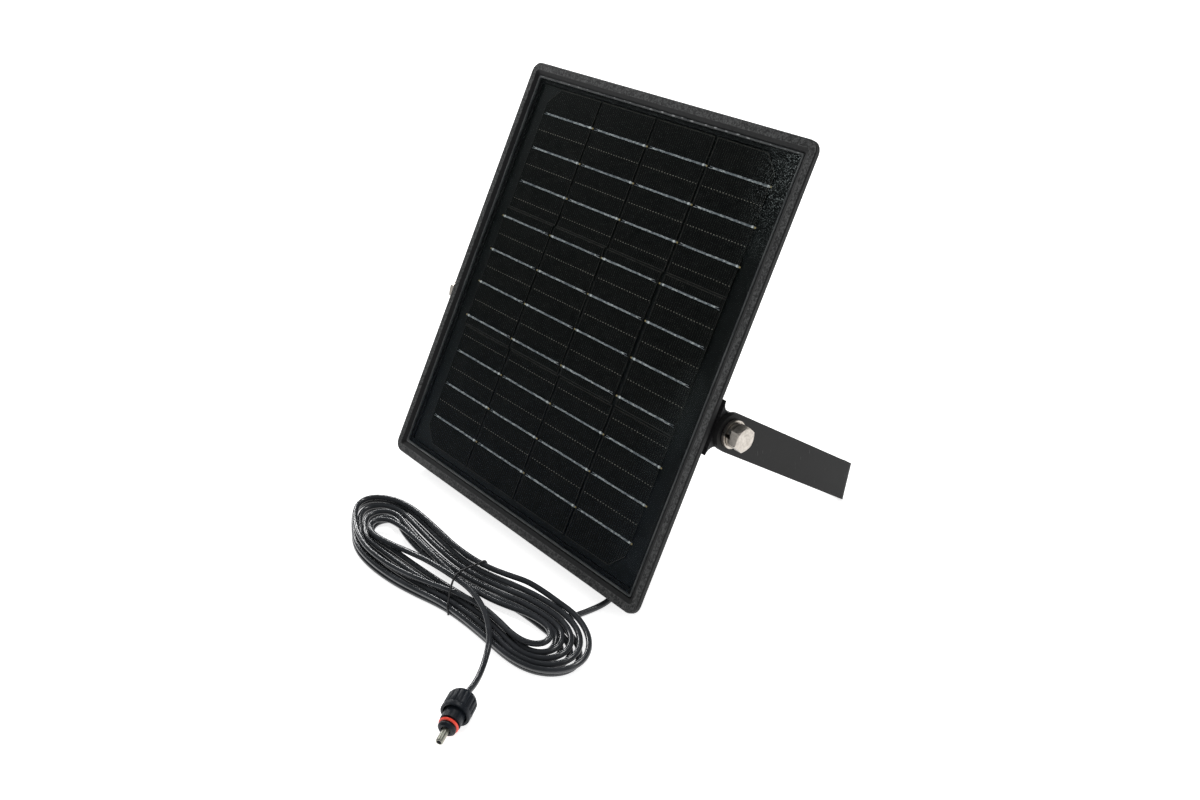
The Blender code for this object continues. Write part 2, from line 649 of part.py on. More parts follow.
def smooth_path(points, spacing):
    """Even points along a Catmull-Rom curve through the route's own points."""
    route = [Vector(p) for p in points]
    route = [2 * route[0] - route[1]] + route + [2 * route[-1] - route[-2]]
    dense = []
    for i in range(1, len(route) - 2):
        a, b, c, d = route[i - 1:i + 3]
        for step in range(24):
            t = step / 24
            dense.append(0.5 * ((2 * b) + (c - a) * t + (2 * a - 5 * b + 4 * c - d) * t * t
                                + (3 * b - a - 3 * c + d) * t ** 3))
    dense.append(route[-2])
    length = sum((q - p).length for p, q in zip(dense, dense[1:]))
    count = max(2, round(length / spacing))
    picked, walked, want = [dense[0]], 0.0, length / count
    for p, q in zip(dense, dense[1:]):
        span = (q - p).length
        while walked + span >= want - 1e-9 and len(picked) < count:
            picked.append(p.lerp(q, (want - walked) / span))
            want += length / count
        walked += span
    return picked + [dense[-1]]


def tube(name, points, diameter, shader):
    curve = bpy.data.curves.new(name, "CURVE")
    curve.dimensions = "3D"
    curve.bevel_depth = diameter / 2
    curve.bevel_resolution = 2
    curve.render_resolution_u = 0
    curve.use_fill_caps = True
    spline = curve.splines.new("POLY")
    spline.points.add(len(points) - 1)
    for target, p in zip(spline.points, points):
        target.co = (*p, 1)
    curve.materials.append(shader)
    obj = bpy.data.objects.new(name, curve)
    bpy.context.scene.collection.objects.link(obj)


def world_point(x, y, depth):
    """A point of the panel's frame, given by its depth behind the front face."""
    turn = Matrix.Rotation(PANEL_TURN, 3, "X")
    return PIVOT + turn @ Vector((x, y, FRONT - depth))


def make_lead():
    tip = world_point(GLAND_X, EDGE_LOW + CASE_INSET - GLAND_LENGTH - 3 * GAP, GLAND_BACK)
    aim = Matrix.Rotation(PANEL_TURN, 3, "X") @ Vector((0, -1, 0))
    route = [tip, tip + aim * 0.0012, (0.0711, -0.0626, 0.0021), (0.0707, -0.0650, 0.00145),
             (0.0701, -0.0680, 0.00135), (0.0693, -0.0715, 0.00135), (0.06825, -0.0750, 0.00135),
             (0.0675, -0.0769, 0.00135)]
    tube("cord_lead", smooth_path(route, CORD), CORD, CABLE_PVC)


def hank_outline():
    """Flat tied bundle seen from above: two rounded lobes and a slight waist."""

    def lobe(x, y, half_x, half_y, first):
        turns = [math.radians(first + 15 * i) for i in range(13)]
        return [(x + half_x * math.cos(t), y + half_y * math.sin(t)) for t in turns]

    left, right = lobe(*HANK_LEFT, 90), lobe(*HANK_RIGHT, -90)
    front_waist = [(-0.013, -0.1222), (0.011, -0.1178), (0.035, -0.1155)]
    rear_waist = [(0.039, -0.0805), (0.015, -0.0865), (-0.011, -0.0862)]
    return left + front_waist + right + rear_waist


def tie_frame(along, height):
    """A point over the tie's line: along it from its rear end, and above the floor."""
    run = TIE_FRONT - TIE_REAR
    spot = TIE_REAR + run.normalized() * along
    return (spot.x, spot.y, height)


def make_hank():
    hank = new_object("cord_hank", prism("cord_hank", hank_outline(), HANK_BASE, HANK_HEIGHT),
                      CABLE_PVC, smooth=50)
    run = TIE_FRONT - TIE_REAR
    across = Vector((-run.y, run.x)).normalized() * (TIE_THICK / 2 + GAP)
    rings = []
    for along in (-0.012, run.length + 0.012):
        x, y, _ = tie_frame(along, 0)
        rings.append([(x + side * across.x, y + side * across.y, height)
                      for side, height in ((-1, -0.001), (1, -0.001),
                                           (1, TIE_THICK + 2 * GAP), (-1, TIE_THICK + 2 * GAP))])
    boolean(hank, cutter("tie_groove", loft("tie_groove", rings)), "DIFFERENCE")


def make_tie():
    """Soft wire wrapped once round the waist, its ends apart under the bundle."""
    half_wire = TIE_THICK / 2
    low = half_wire + 0.0001
    high = HANK_HEIGHT + GAP + half_wire
    clear = 2 * GAP + half_wire
    start, end = -clear, (TIE_FRONT - TIE_REAR).length + clear
    bend = 0.0018
    loop = (arc(start + bend, low + bend, bend, 255, 180, 4)
            + arc(start + bend, high - bend, bend, 180, 90, 4)
            + arc(end - bend, high - bend, bend, 90, 0, 4)
            + arc(end - bend, low + bend, bend, 0, -90, 4))
    tube("hank_tie", [Vector(tie_frame(a, z)) for a, z in loop], TIE_THICK, TIE_PVC)


def make_tail():
    entry = PLUG_REAR - PLUG_AIM * GAP
    route = [(0.0611, -0.1176, 0.0058), (0.0633, -0.1201, 0.0052), (0.0666, -0.1238, 0.0050),
             (0.0699, -0.1277, 0.0053), (0.0730, -0.1318, 0.0058), (0.0752, -0.1355, 0.0062),
             entry - PLUG_AIM * 0.0018, entry]
    tube("cord_tail", smooth_path(route, CORD * 1.4), CORD, CABLE_PVC)


# -------------------------------------------------------------------------------- plug

def make_nut():
    """Ribbed coupling nut, open at the front, with a bored rear wall."""
    steps = NUT_RIBS * 4

    def ribbed(radius, height, rib):
        row = []
        for i in range(steps):
            turn = 2 * math.pi * i / steps
            r = radius + (rib if i % 4 < 2 else 0.0)
            row.append((r * math.cos(turn), r * math.sin(turn), height))
        return row

    rear, front = NUT_START, NUT_END
    hole = NECK_RADIUS + 0.0004
    rings = [ribbed(hole, rear, 0), ribbed(0.0042, rear, 0), ribbed(0.0051, rear + 0.0006, 0),
             ribbed(NUT_RADIUS, rear + 0.0018, NUT_RIB),
             ribbed(NUT_RADIUS, front - 0.0022, NUT_RIB),
             ribbed(NUT_RADIUS + 0.0002, front - 0.0018, 0),
             ribbed(NUT_RADIUS + 0.0002, front, 0), ribbed(NUT_BORE, front, 0),
             ribbed(NUT_BORE, rear + 0.0024, 0), ribbed(hole, rear + 0.0020, 0)]
    new_object("coupling_nut", loft("coupling_nut", rings, closed=True), PLUG_PVC,
               plug_axis, 25)


def make_plug():
    wide, groove, socket = BODY_RADIUS, O_RING_RADIUS - O_RING_THICK - GAP, 0.0152
    body = [(0, 0.0), (NECK_RADIUS, 0.0), (NECK_RADIUS, NECK_END), (wide - 0.0002, NECK_END),
            (wide, NECK_END + 0.0007), (wide, O_RING_AT - 0.0012), (groove, O_RING_AT - 0.0010),
            (groove, O_RING_AT + 0.0010), (NOSE_RADIUS, O_RING_AT + 0.0012),
            (NOSE_RADIUS, BODY_END - 0.0008), (NOSE_RADIUS - 0.0008, BODY_END),
            (0.0020, BODY_END), (0.0020, socket), (0, socket)]
    new_object("plug_body", lathe("plug_body", body, 28), PLUG_PVC, plug_axis, 30)
    outline = arc(O_RING_RADIUS, O_RING_AT, O_RING_THICK, 0, 315, 7)
    new_object("plug_o_ring", lathe("plug_o_ring", outline, 28), SILICONE_RED, plug_axis, 60)
    barrel = [(SLEEVE_BORE, socket + 0.0004), (SLEEVE_RADIUS, socket + 0.0004),
              (SLEEVE_RADIUS, SLEEVE_END - 0.0003), (SLEEVE_RADIUS - 0.0002, SLEEVE_END),
              (SLEEVE_BORE, SLEEVE_END)]
    new_object("plug_barrel", lathe("plug_barrel", barrel, 20), PLATED, plug_axis, 30)
    mouth = CORE_RADIUS - 0.00025
    core = [(0, socket + 0.0008), (CORE_RADIUS, socket + 0.0008), (CORE_RADIUS, CORE_END),
            (mouth, CORE_END), (mouth, CORE_END - 0.0026), (0, CORE_END - 0.0026)]
    new_object("plug_insulator", lathe("plug_insulator", core, 12), PLUG_PVC, plug_axis, 30)


make_frame()
make_cover()
make_cells()
make_board()
make_case()
make_case_screws()
make_gland()
for bolt_side, bolt_name in ((-1, "left"), (1, "right")):
    make_bolt(bolt_side, bolt_name)
    make_washers(bolt_side, bolt_name)
make_bracket()
make_lead()
make_hank()
make_tie()
make_tail()
make_nut()
make_plug()
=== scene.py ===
"""Looks of a framed solar panel on its U bracket, with its tied cable and DC plug.

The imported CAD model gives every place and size.  Pieces that need more shape than the CAD
solids have are built here in the panel's, the plug's or the world's own frame.
"""
import json
import math

import bmesh
import bpy
import numpy as np
from mathutils import Matrix, Vector, noise


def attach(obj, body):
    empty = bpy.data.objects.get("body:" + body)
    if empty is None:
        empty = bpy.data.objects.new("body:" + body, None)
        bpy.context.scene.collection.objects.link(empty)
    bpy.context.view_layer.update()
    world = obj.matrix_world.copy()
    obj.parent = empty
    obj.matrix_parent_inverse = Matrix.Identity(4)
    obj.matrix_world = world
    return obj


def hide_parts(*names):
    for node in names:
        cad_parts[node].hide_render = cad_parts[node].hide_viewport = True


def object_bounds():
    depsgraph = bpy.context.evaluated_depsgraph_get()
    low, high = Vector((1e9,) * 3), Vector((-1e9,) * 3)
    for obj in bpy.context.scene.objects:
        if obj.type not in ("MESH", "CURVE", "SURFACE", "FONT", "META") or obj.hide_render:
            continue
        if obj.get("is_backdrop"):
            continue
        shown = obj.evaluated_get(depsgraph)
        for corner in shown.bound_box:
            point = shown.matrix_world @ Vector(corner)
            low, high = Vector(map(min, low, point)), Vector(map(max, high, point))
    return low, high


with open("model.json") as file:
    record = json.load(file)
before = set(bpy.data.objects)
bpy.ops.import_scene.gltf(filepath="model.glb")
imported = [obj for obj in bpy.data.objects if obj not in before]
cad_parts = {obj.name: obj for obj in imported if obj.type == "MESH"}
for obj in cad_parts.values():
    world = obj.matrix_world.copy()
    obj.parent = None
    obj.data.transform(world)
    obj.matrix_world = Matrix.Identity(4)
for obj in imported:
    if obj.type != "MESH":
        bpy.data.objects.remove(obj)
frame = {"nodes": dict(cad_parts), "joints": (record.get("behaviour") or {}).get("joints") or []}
cad_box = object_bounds()

scene = bpy.context.scene
MM = 0.001


# ------------------------------------------------------------------------ shared frames

def joint(name):
    """The frame's row for a joint."""
    return next(j for j in frame["joints"] if j["name"] == name)


def largest_face_normal(node):
    """Unit normal of a node's largest face."""
    mesh = frame["nodes"][node].data
    return max(mesh.polygons, key=lambda p: p.area).normal.normalized()


PIVOT = Vector(joint("bracket_tilt")["pos_m"])
FACE_NORMAL = largest_face_normal("glass_cover")
if FACE_NORMAL.z < 0:
    FACE_NORMAL = -FACE_NORMAL
PANEL_TURN = math.atan2(-FACE_NORMAL.y, FACE_NORMAL.z)
PANEL = Matrix.Translation(PIVOT) @ Matrix.Rotation(PANEL_TURN, 4, "X")

# The panel's outline, in the panel frame: its origin is on the pivot's axis
FRONT = 0.0118                      # rim's front face above the origin
PANEL_TOP = 0.1207                  # rim's upper edge
RIM_HALF_X, RIM_HALF_Y = 0.0926, 0.10275
RIM_MIDDLE_Y = PANEL_TOP - RIM_HALF_Y
SMOOTH_SHADED_EDGE = 0.0005                # the rim stays smooth, and darker with painted shade, this far in from its outer edge
SEAL_INSET = 0.00635                # middle of the sealant bead, in from the outer edge

PLUG_AIM = Vector(joint("nut_spin")["axis"]).normalized()
PLUG_REAR = Vector(joint("nut_spin")["pos_m"])
PLUG = Matrix.Translation(PLUG_REAR) @ PLUG_AIM.to_track_quat("Z", "Y").to_matrix().to_4x4()


# ------------------------------------------------------------------------------- camera

CAMERA_AT = (0.42058, -0.30873, 0.36753)
CAMERA_TURN = ((0.6357, -0.3289, 0.6984), (0.7652, 0.3876, -0.5140), (-0.1017, 0.8611, 0.4981))
SENSOR_WIDTH, LENS = 36.0, 39.0879  # in mm
SHIFT_Y = -0.0376


def add_camera():
    data = bpy.data.cameras.new("photo_camera")
    data.sensor_fit = "HORIZONTAL"
    data.sensor_width = SENSOR_WIDTH
    data.lens = LENS
    data.shift_y = SHIFT_Y
    data.clip_start, data.clip_end = 0.01, 50
    camera = bpy.data.objects.new("photo_camera", data)
    turn = Matrix(CAMERA_TURN).to_quaternion().to_matrix()
    camera.matrix_world = Matrix.Translation(CAMERA_AT) @ turn.to_4x4()
    scene.collection.objects.link(camera)
    scene.camera = camera


add_camera()


# -------------------------------------------------------------------------- node helper

class Shade:
    """A material's node tree; every call adds one node and returns an output socket."""

    def __init__(self, name):
        self.material = bpy.data.materials.new(name)
        self.material.use_nodes = True
        self.tree = self.material.node_tree
        self.tree.nodes.clear()

    def node(self, kind, inputs=None, **settings):
        made = self.tree.nodes.new(kind)
        for key, value in settings.items():
            setattr(made, key, value)
        for key, value in (inputs or {}).items():
            self.feed(made.inputs[key], value)
        return made

    def feed(self, socket, value):
        if isinstance(value, bpy.types.NodeSocket):
            self.tree.links.new(value, socket)
        elif isinstance(value, tuple) and len(value) == 3 and socket.type == "RGBA":
            socket.default_value = (*value, 1.0)
        else:
            socket.default_value = value

    def place(self):
        return self.node("ShaderNodeTexCoord").outputs["Object"]

    def mapped(self, vector, location=(0, 0, 0), rotation=(0, 0, 0), scale=(1, 1, 1),
               kind="POINT"):
        return self.node("ShaderNodeMapping", {"Vector": vector, "Location": location,
                                               "Rotation": rotation, "Scale": scale},
                         vector_type=kind).outputs[0]

    def noise(self, vector, scale, detail=2.0, rough=0.5):
        return self.node("ShaderNodeTexNoise", {
            "Vector": vector, "Scale": scale, "Detail": detail, "Roughness": rough}).outputs[0]

    def cells(self, vector, scale):
        return self.node("ShaderNodeTexVoronoi", {
            "Vector": vector, "Scale": scale}).outputs["Distance"]

    def math(self, kind, a, b=0.0, clamp=False):
        made = self.node("ShaderNodeMath", operation=kind, use_clamp=clamp)
        for socket, value in zip(made.inputs, (a, b)):
            self.feed(socket, value)
        return made.outputs[0]

    def range(self, value, low, high, to_low=0.0, to_high=1.0, smooth=False):
        return self.node("ShaderNodeMapRange", {
            0: value, 1: low, 2: high, 3: to_low, 4: to_high},
            interpolation_type="SMOOTHSTEP" if smooth else "LINEAR").outputs[0]

    def mix(self, share, a, b):
        made = self.node("ShaderNodeMix", data_type="RGBA")
        self.feed(made.inputs["Factor"], share)
        for socket, value in ((made.inputs[6], a), (made.inputs[7], b)):
            self.feed(socket, value)
        return made.outputs[2]

    def split(self, vector):
        return self.node("ShaderNodeSeparateXYZ", {0: vector}).outputs

    def bump(self, height, distance, strength):
        return self.node("ShaderNodeBump", {
            "Height": height, "Distance": distance, "Strength": strength}).outputs[0]

    def surface(self, colour, roughness, normal, **others):
        inputs = {"Base Color": colour, "Roughness": roughness, "Normal": normal}
        for key, value in others.items():
            inputs[key.replace("_", " ")] = value
        shader = self.node("ShaderNodeBsdfPrincipled", inputs)
        return self.output(shader.outputs[0])

    def output(self, shader):
        self.node("ShaderNodeOutputMaterial", {"Surface": shader})
        return self.material


def panel_place(shade):
    """Position in the panel's frame, for a node whose mesh is in the row frame."""
    return shade.mapped(shade.place(), PIVOT[:], (PANEL_TURN, 0, 0), kind="TEXTURE")


# ---------------------------------------------------------------------------- materials

def cable_material():
    s = Shade("cable_sheath")
    p = s.place()
    soft = s.noise(p, 60, 3)
    fine = s.noise(p, 500, 2)
    colour = s.mix(s.range(soft, 0.35, 0.7), (0.024, 0.026, 0.029), (0.040, 0.043, 0.048))
    rough = s.math("ADD", s.range(fine, 0.3, 0.7, 0.16, 0.19), s.range(soft, 0.3, 0.8, 0, 0.05))
    return s.surface(colour, rough, s.bump(s.noise(p, 160, 2), 0.00002, 0.2),
                     Specular_IOR_Level=0.55)


def rubber_material(name, dark, light, rough=0.42):
    s = Shade(name)
    p = s.place()
    patch = s.noise(p, 120, 3)
    colour = s.mix(s.range(patch, 0.3, 0.7), dark, light)
    roughness = s.range(s.noise(p, 500, 2), 0.3, 0.7, rough - 0.07, rough + 0.07)
    return s.surface(colour, roughness, s.bump(s.noise(p, 1400, 2), 0.00006, 0.6))


def floor_material():
    s = Shade("pale_floor")
    p = s.place()
    colour = s.mix(s.range(s.noise(p, 3, 2), 0.3, 0.7), (0.86, 0.86, 0.86), (0.88, 0.88, 0.88))
    return s.surface(colour, 0.85, s.bump(s.noise(p, 400, 2), 0.0001, 0.2),
                     Specular_IOR_Level=0.15, Emission_Color=(1, 1, 1), Emission_Strength=0.75)


def sandy_plastic(name, dark, light, rough, grain_depth=0.00016, flat_above=None):
    """Black plastic moulded with a sandy grain.

    Below the height flat_above, and along the rim's outer edge, it is smooth, and darker with painted
    shade.
    """
    s = Shade(name)
    p = panel_place(s)
    sand = s.noise(p, 1150, 2, 0.6)
    pits = s.cells(p, 1000)
    cloud = s.noise(p, 35, 3)
    tone = s.math("ADD", s.range(sand, 0.40, 0.62, 0, 0.75), s.range(cloud, 0.3, 0.7, 0, 0.25))
    colour = s.mix(tone, dark, light)
    glint = s.range(s.noise(p, 2600, 1), 0.66, 0.74, 0, 0.55)
    colour = s.mix(glint, colour, tuple(min(1.0, c * 2.6) for c in light))
    height = s.math("ADD", sand, s.math("MULTIPLY", pits, 0.5))
    roughness = s.range(cloud, 0.3, 0.7, rough - 0.05, rough + 0.05)
    share = 1.0
    if flat_above is not None:
        x, y, z = s.split(p)
        share = s.range(z, flat_above - 0.00016, flat_above - 0.00003)
        beyond_x = s.math("SUBTRACT", s.math("ABSOLUTE", x), RIM_HALF_X - SMOOTH_SHADED_EDGE)
        off_middle = s.math("ABSOLUTE", s.math("SUBTRACT", y, RIM_MIDDLE_Y))
        beyond_y = s.math("SUBTRACT", off_middle, RIM_HALF_Y - SMOOTH_SHADED_EDGE)
        beyond = s.math("MAXIMUM", beyond_x, beyond_y)
        share = s.math("MULTIPLY", share, s.range(beyond, -0.0001, 0.0001, 1, 0))
        # smooth sides and outer edge: their darker colour is painted shade
        smooth = s.mix(s.range(sand, 0.3, 0.7), (0.0050, 0.0052, 0.0055),
                       (0.0095, 0.0098, 0.0100))
        colour = s.mix(share, smooth, colour)
    normal = s.bump(s.math("MULTIPLY", height, share), grain_depth, 0.9)
    return s.surface(colour, roughness, normal, Specular_IOR_Level=0.35)


def glass_material():
    """Clear glass that mirrors more at a slant, smeared on the right, dusty at the top right, with a
    painted reflection that turns bluer towards the bottom.
    """
    s = Shade("front_glass")
    p = panel_place(s)
    x, y, _ = s.split(p)
    cloud = s.noise(p, 22, 4, 0.6)
    speck = s.noise(p, 1700, 2)
    right = s.range(x, 0.055, 0.086, smooth=True)
    smear = s.math("MULTIPLY", s.range(cloud, 0.50, 0.68, 0, 0.10), right)
    corner = s.math("MULTIPLY", s.range(y, 0.05, 0.11, smooth=True), right)
    dust = s.math("MULTIPLY", s.range(speck, 0.58, 0.66, 0, 0.75), corner)
    facing = s.node("ShaderNodeLayerWeight", {"Blend": 0.5}).outputs["Facing"]
    edge = s.math("ADD", s.math("MULTIPLY", s.math("POWER", facing, 4.0), 0.7), 0.035)
    share = s.math("ADD", s.math("ADD", edge, smear), dust, clamp=True)
    # painted reflection: the sheen's colour turns bluer towards the bottom; smears and dust then make
    # it pale
    low = s.range(y, -0.09, 0.03, 1, 0, smooth=True)
    reflection_and_smear_tint = s.mix(low, (0.020, 0.026, 0.024), (0.026, 0.036, 0.052))
    reflection_and_smear_tint = s.mix(s.math("ADD", smear, dust, clamp=True), reflection_and_smear_tint, (0.42, 0.46, 0.46))
    sheen = s.node("ShaderNodeBsdfPrincipled", {
        "Base Color": reflection_and_smear_tint, "Roughness": s.range(cloud, 0.3, 0.7, 0.06, 0.12),
        "Normal": s.bump(s.noise(p, 120, 2), 0.00001, 0.15)})
    clear = s.node("ShaderNodeBsdfTransparent", {"Color": (0.93, 0.95, 0.95)})
    mix = s.node("ShaderNodeMixShader", {0: share, 1: clear.outputs[0], 2: sheen.outputs[0]})
    return s.output(mix.outputs[0])


def silicon_material():
    """Near-black wafer crossed by fine pale fingers that break up along their length."""
    s = Shade("silicon_cell")
    p = panel_place(s)
    x, y, _ = s.split(p)
    wafer = s.mix(s.range(s.noise(p, 28, 3), 0.3, 0.7), (0.0014, 0.0015, 0.0017),
                  (0.0030, 0.0030, 0.0030))
    finger = s.range(s.math("PINGPONG", s.math("ADD", x, 0.2), 0.00065), 0, 0.00011, 1, 0)
    broken = s.range(s.noise(s.mapped(p, scale=(1, 6, 1)), 260, 2), 0.32, 0.62, 0.25, 1)
    colour = s.mix(s.math("MULTIPLY", finger, broken), wafer, (0.085, 0.078, 0.070))
    speck = s.range(s.noise(p, 1100, 1), 0.70, 0.76, 0, 0.5)
    colour = s.mix(speck, colour, (0.10, 0.095, 0.08))
    rough = s.range(s.noise(p, 300, 2), 0.3, 0.7, 0.28, 0.42)
    return s.surface(colour, rough, s.bump(s.noise(p, 2200, 2), 0.00001, 0.3),
                     Specular_IOR_Level=0.2)


def board_material():
    s = Shade("black_board")
    p = panel_place(s)
    _, y, _ = s.split(p)
    weave = s.noise(p, 700, 2)
    # painted bluish sheen, stronger towards the bottom
    low = s.range(y, -0.09, 0.08, 1, 0, smooth=True)
    colour = s.mix(low, (0.0018, 0.0025, 0.0022), (0.0022, 0.0031, 0.0044))
    colour = s.mix(s.range(s.noise(p, 60, 3), 0.45, 0.75, 0, 0.5), colour,
                   (0.0060, 0.0072, 0.0078))
    return s.surface(colour, s.range(weave, 0.3, 0.7, 0.3, 0.5), s.bump(weave, 0.00003, 0.5))


def brushed_metal(name, dark, light, rough, metallic=1.0):
    """Metal with fine streaks and darker stains."""
    s = Shade(name)
    p = s.place()
    streak = s.noise(p, 700, 3, 0.6)
    cloud = s.noise(p, 150, 3)
    stain = s.range(s.noise(p, 420, 4, 0.7), 0.56, 0.70, 0, 0.55)
    colour = s.mix(s.range(streak, 0.3, 0.7), dark, light)
    colour = s.mix(stain, colour, tuple(c * 0.62 for c in dark))
    roughness = s.math("ADD", s.range(cloud, 0.3, 0.7, rough - 0.06, rough + 0.06),
                       s.range(streak, 0.3, 0.7, 0, 0.07))
    return s.surface(colour, roughness, s.bump(streak, 0.00003, 0.5), Metallic=metallic)


def ribbon_metal():
    """Tinned ribbon: grey-blue with bright beads of solder and darker bare bits."""
    s = Shade("tinned_ribbon")
    p = s.place()
    bead = s.noise(s.mapped(p, scale=(0.7, 2.0, 1)), 950, 3, 0.6)
    length = s.noise(p, 120, 2)
    colour = s.mix(s.range(bead, 0.38, 0.55), (0.14, 0.155, 0.175), (0.42, 0.445, 0.47))
    colour = s.mix(s.range(bead, 0.55, 0.64), colour, (0.93, 0.93, 0.92))
    colour = s.mix(s.range(length, 0.52, 0.68, 0, 0.55), colour, (0.20, 0.22, 0.24))
    return s.surface(colour, s.range(bead, 0.3, 0.7, 0.50, 0.28),
                     s.bump(bead, 0.00009, 0.6), Metallic=0.2)


def painted_steel():
    """Satin black powder paint with a few short scratches."""
    s = Shade("satin_paint")
    p = s.place()
    cloud = s.noise(p, 26, 3)
    peel = s.noise(p, 850, 2)
    colour = s.mix(s.range(cloud, 0.3, 0.7), (0.0070, 0.0070, 0.0073), (0.0098, 0.0097, 0.0096))
    line = s.noise(s.mapped(p, rotation=(0.5, 0.2, 0.4), scale=(1, 14, 1)), 90, 3, 0.6)
    scratch = s.range(line, 0.685, 0.72, 0, 0.35)
    colour = s.mix(scratch, colour, (0.13, 0.13, 0.13))
    rough = s.math("SUBTRACT", s.range(cloud, 0.3, 0.7, 0.47, 0.56),
                   s.math("MULTIPLY", scratch, 0.3))
    return s.surface(colour, rough, s.bump(peel, 0.00004, 0.4), Specular_IOR_Level=0.16)


def plug_plastic():
    s = Shade("plug_plastic")
    p = s.place()
    cloud = s.noise(p, 240, 3)
    fine = s.noise(p, 1500, 2)
    colour = s.mix(s.range(cloud, 0.3, 0.7), (0.0075, 0.0100, 0.0140), (0.0130, 0.0165, 0.0220))
    scuff = s.range(s.noise(p, 900, 3, 0.7), 0.64, 0.74, 0, 0.5)
    colour = s.mix(scuff, colour, (0.045, 0.052, 0.065))
    return s.surface(colour, s.range(fine, 0.3, 0.7, 0.36, 0.50), s.bump(fine, 0.00004, 0.4),
                     Specular_IOR_Level=0.22)


def red_silicone():
    s = Shade("red_silicone")
    p = s.place()
    colour = s.mix(s.range(s.noise(p, 700, 3), 0.3, 0.7), (0.86, 0.055, 0.030),
                   (0.95, 0.095, 0.055))
    return s.surface(colour, s.range(s.noise(p, 900, 2), 0.3, 0.7, 0.25, 0.36),
                     s.bump(s.noise(p, 1600, 2), 0.00004, 0.5))


def circuit_board():
    s = Shade("circuit_board")
    p = panel_place(s)
    tracks = s.cells(p, 260)
    colour = s.mix(s.range(tracks, 0.40, 0.46), (0.02, 0.13, 0.06), (0.03, 0.20, 0.09))
    return s.surface(colour, s.range(s.noise(p, 400, 2), 0.3, 0.7, 0.35, 0.5),
                     s.bump(tracks, 0.00004, 0.5))


MATERIALS = {
    "frame": sandy_plastic("sandy_frame", (0.0085, 0.0088, 0.0090), (0.082, 0.083, 0.083), 0.58,
                           flat_above=FRONT),
    "case": sandy_plastic("sandy_case", (0.007, 0.007, 0.008), (0.026, 0.026, 0.027), 0.52,
                          grain_depth=0.00010),
    "glass": glass_material(),
    "sealant": rubber_material("grey_sealant", (0.034, 0.038, 0.040), (0.085, 0.090, 0.090), 0.34),
    "smear": rubber_material("pale_sealant", (0.12, 0.125, 0.125), (0.42, 0.43, 0.43), 0.3),
    "silicon": silicon_material(),
    "board": board_material(),
    "circuit": circuit_board(),
    "diode": rubber_material("diode_resin", (0.012, 0.012, 0.012), (0.028, 0.028, 0.028)),
    "stainless": brushed_metal("stainless_steel", (0.40, 0.365, 0.325), (0.58, 0.54, 0.49), 0.30),
    "brass": brushed_metal("brass", (0.58, 0.42, 0.18), (0.74, 0.57, 0.27), 0.32),
    "ribbon": ribbon_metal(),
    # solder: real solder lumps, their near-white colour partly a painted highlight for glints
    "solder": brushed_metal("solder", (0.92, 0.92, 0.92), (1.0, 1.0, 1.0), 0.30, 0.05),
    "border": brushed_metal("printed_border", (0.042, 0.038, 0.033), (0.085, 0.077, 0.067), 0.5,
                            0.1),
    "copper": brushed_metal("copper_tip", (0.60, 0.45, 0.20), (0.72, 0.58, 0.30), 0.4, 0.35),
    "silver": brushed_metal("silver_pad", (0.22, 0.20, 0.165), (0.42, 0.39, 0.33), 0.5, 0.1),
    "screw": brushed_metal("black_zinc", (0.045, 0.045, 0.05), (0.10, 0.10, 0.105), 0.4),
    "plated": brushed_metal("plated_barrel", (0.24, 0.24, 0.20), (0.38, 0.38, 0.32), 0.30, 0.8),
    "paint": painted_steel(),
    "plug": plug_plastic(),
    "red": red_silicone(),
    "rubber": rubber_material("gland_rubber", (0.011, 0.011, 0.012), (0.024, 0.024, 0.026)),
    "cable": cable_material(),
    "tie": rubber_material("tie_sheath", (0.010, 0.010, 0.011), (0.022, 0.022, 0.024)),
    "floor": floor_material()}

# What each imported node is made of, by the start of its name; replaced nodes need no entry
NODE_MATERIALS = {
    "bezel_frame": "frame", "glass_cover": "glass", "edge_seal": "sealant",
    "solar_cell": "silicon", "backing_board": "board", "terminal_board": "circuit",
    "blocking_diode": "diode", "back_case": "case", "case_screw": "screw",
    "cable_gland": "rubber", "pivot_bolt": "stainless", "flat_washer": "stainless",
    "spring_washer": "stainless", "threaded_insert": "brass", "mount_bracket": "paint",
    "plug_body": "plug", "plug_o_ring": "red", "plug_barrel": "plated",
    "plug_insulator": "plug"}

# Width of the small rounding on a node's edges, in mm
ROUNDED = {"bezel_frame": 0.20, "mount_bracket": 0.25, "back_case": 0.3, "pivot_bolt": 0.12,
           "flat_washer": 0.12, "spring_washer": 0.15, "plug_body": 0.10, "plug_barrel": 0.08}


def dress_nodes():
    """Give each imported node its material, and small rounded edges where they catch light."""
    for name, obj in frame["nodes"].items():
        if obj.type != "MESH":
            continue
        for start, material in NODE_MATERIALS.items():
            if name.startswith(start):
                for slot in obj.material_slots:
                    slot.material = MATERIALS[material]
        for start, width in ROUNDED.items():
            if name.startswith(start):
                edge = obj.modifiers.new("small_round", "BEVEL")
                edge.width = width * MM
                edge.segments = 2
                edge.limit_method = "ANGLE"
                edge.angle_limit = math.radians(32)
                edge.harden_normals = False
                edge.use_clamp_overlap = True


def grain(*at):
    """Repeatable unevenness, about -1 to 1, at a place."""
    return noise.noise(Vector(at) * 1.7)


def new_mesh(name, edit):
    """Turn the mesh being edited into mesh data, its faces pointing out."""
    bmesh.ops.recalc_face_normals(edit, faces=edit.faces)
    mesh = bpy.data.meshes.new(name)
    edit.to_mesh(mesh)
    edit.free()
    return mesh


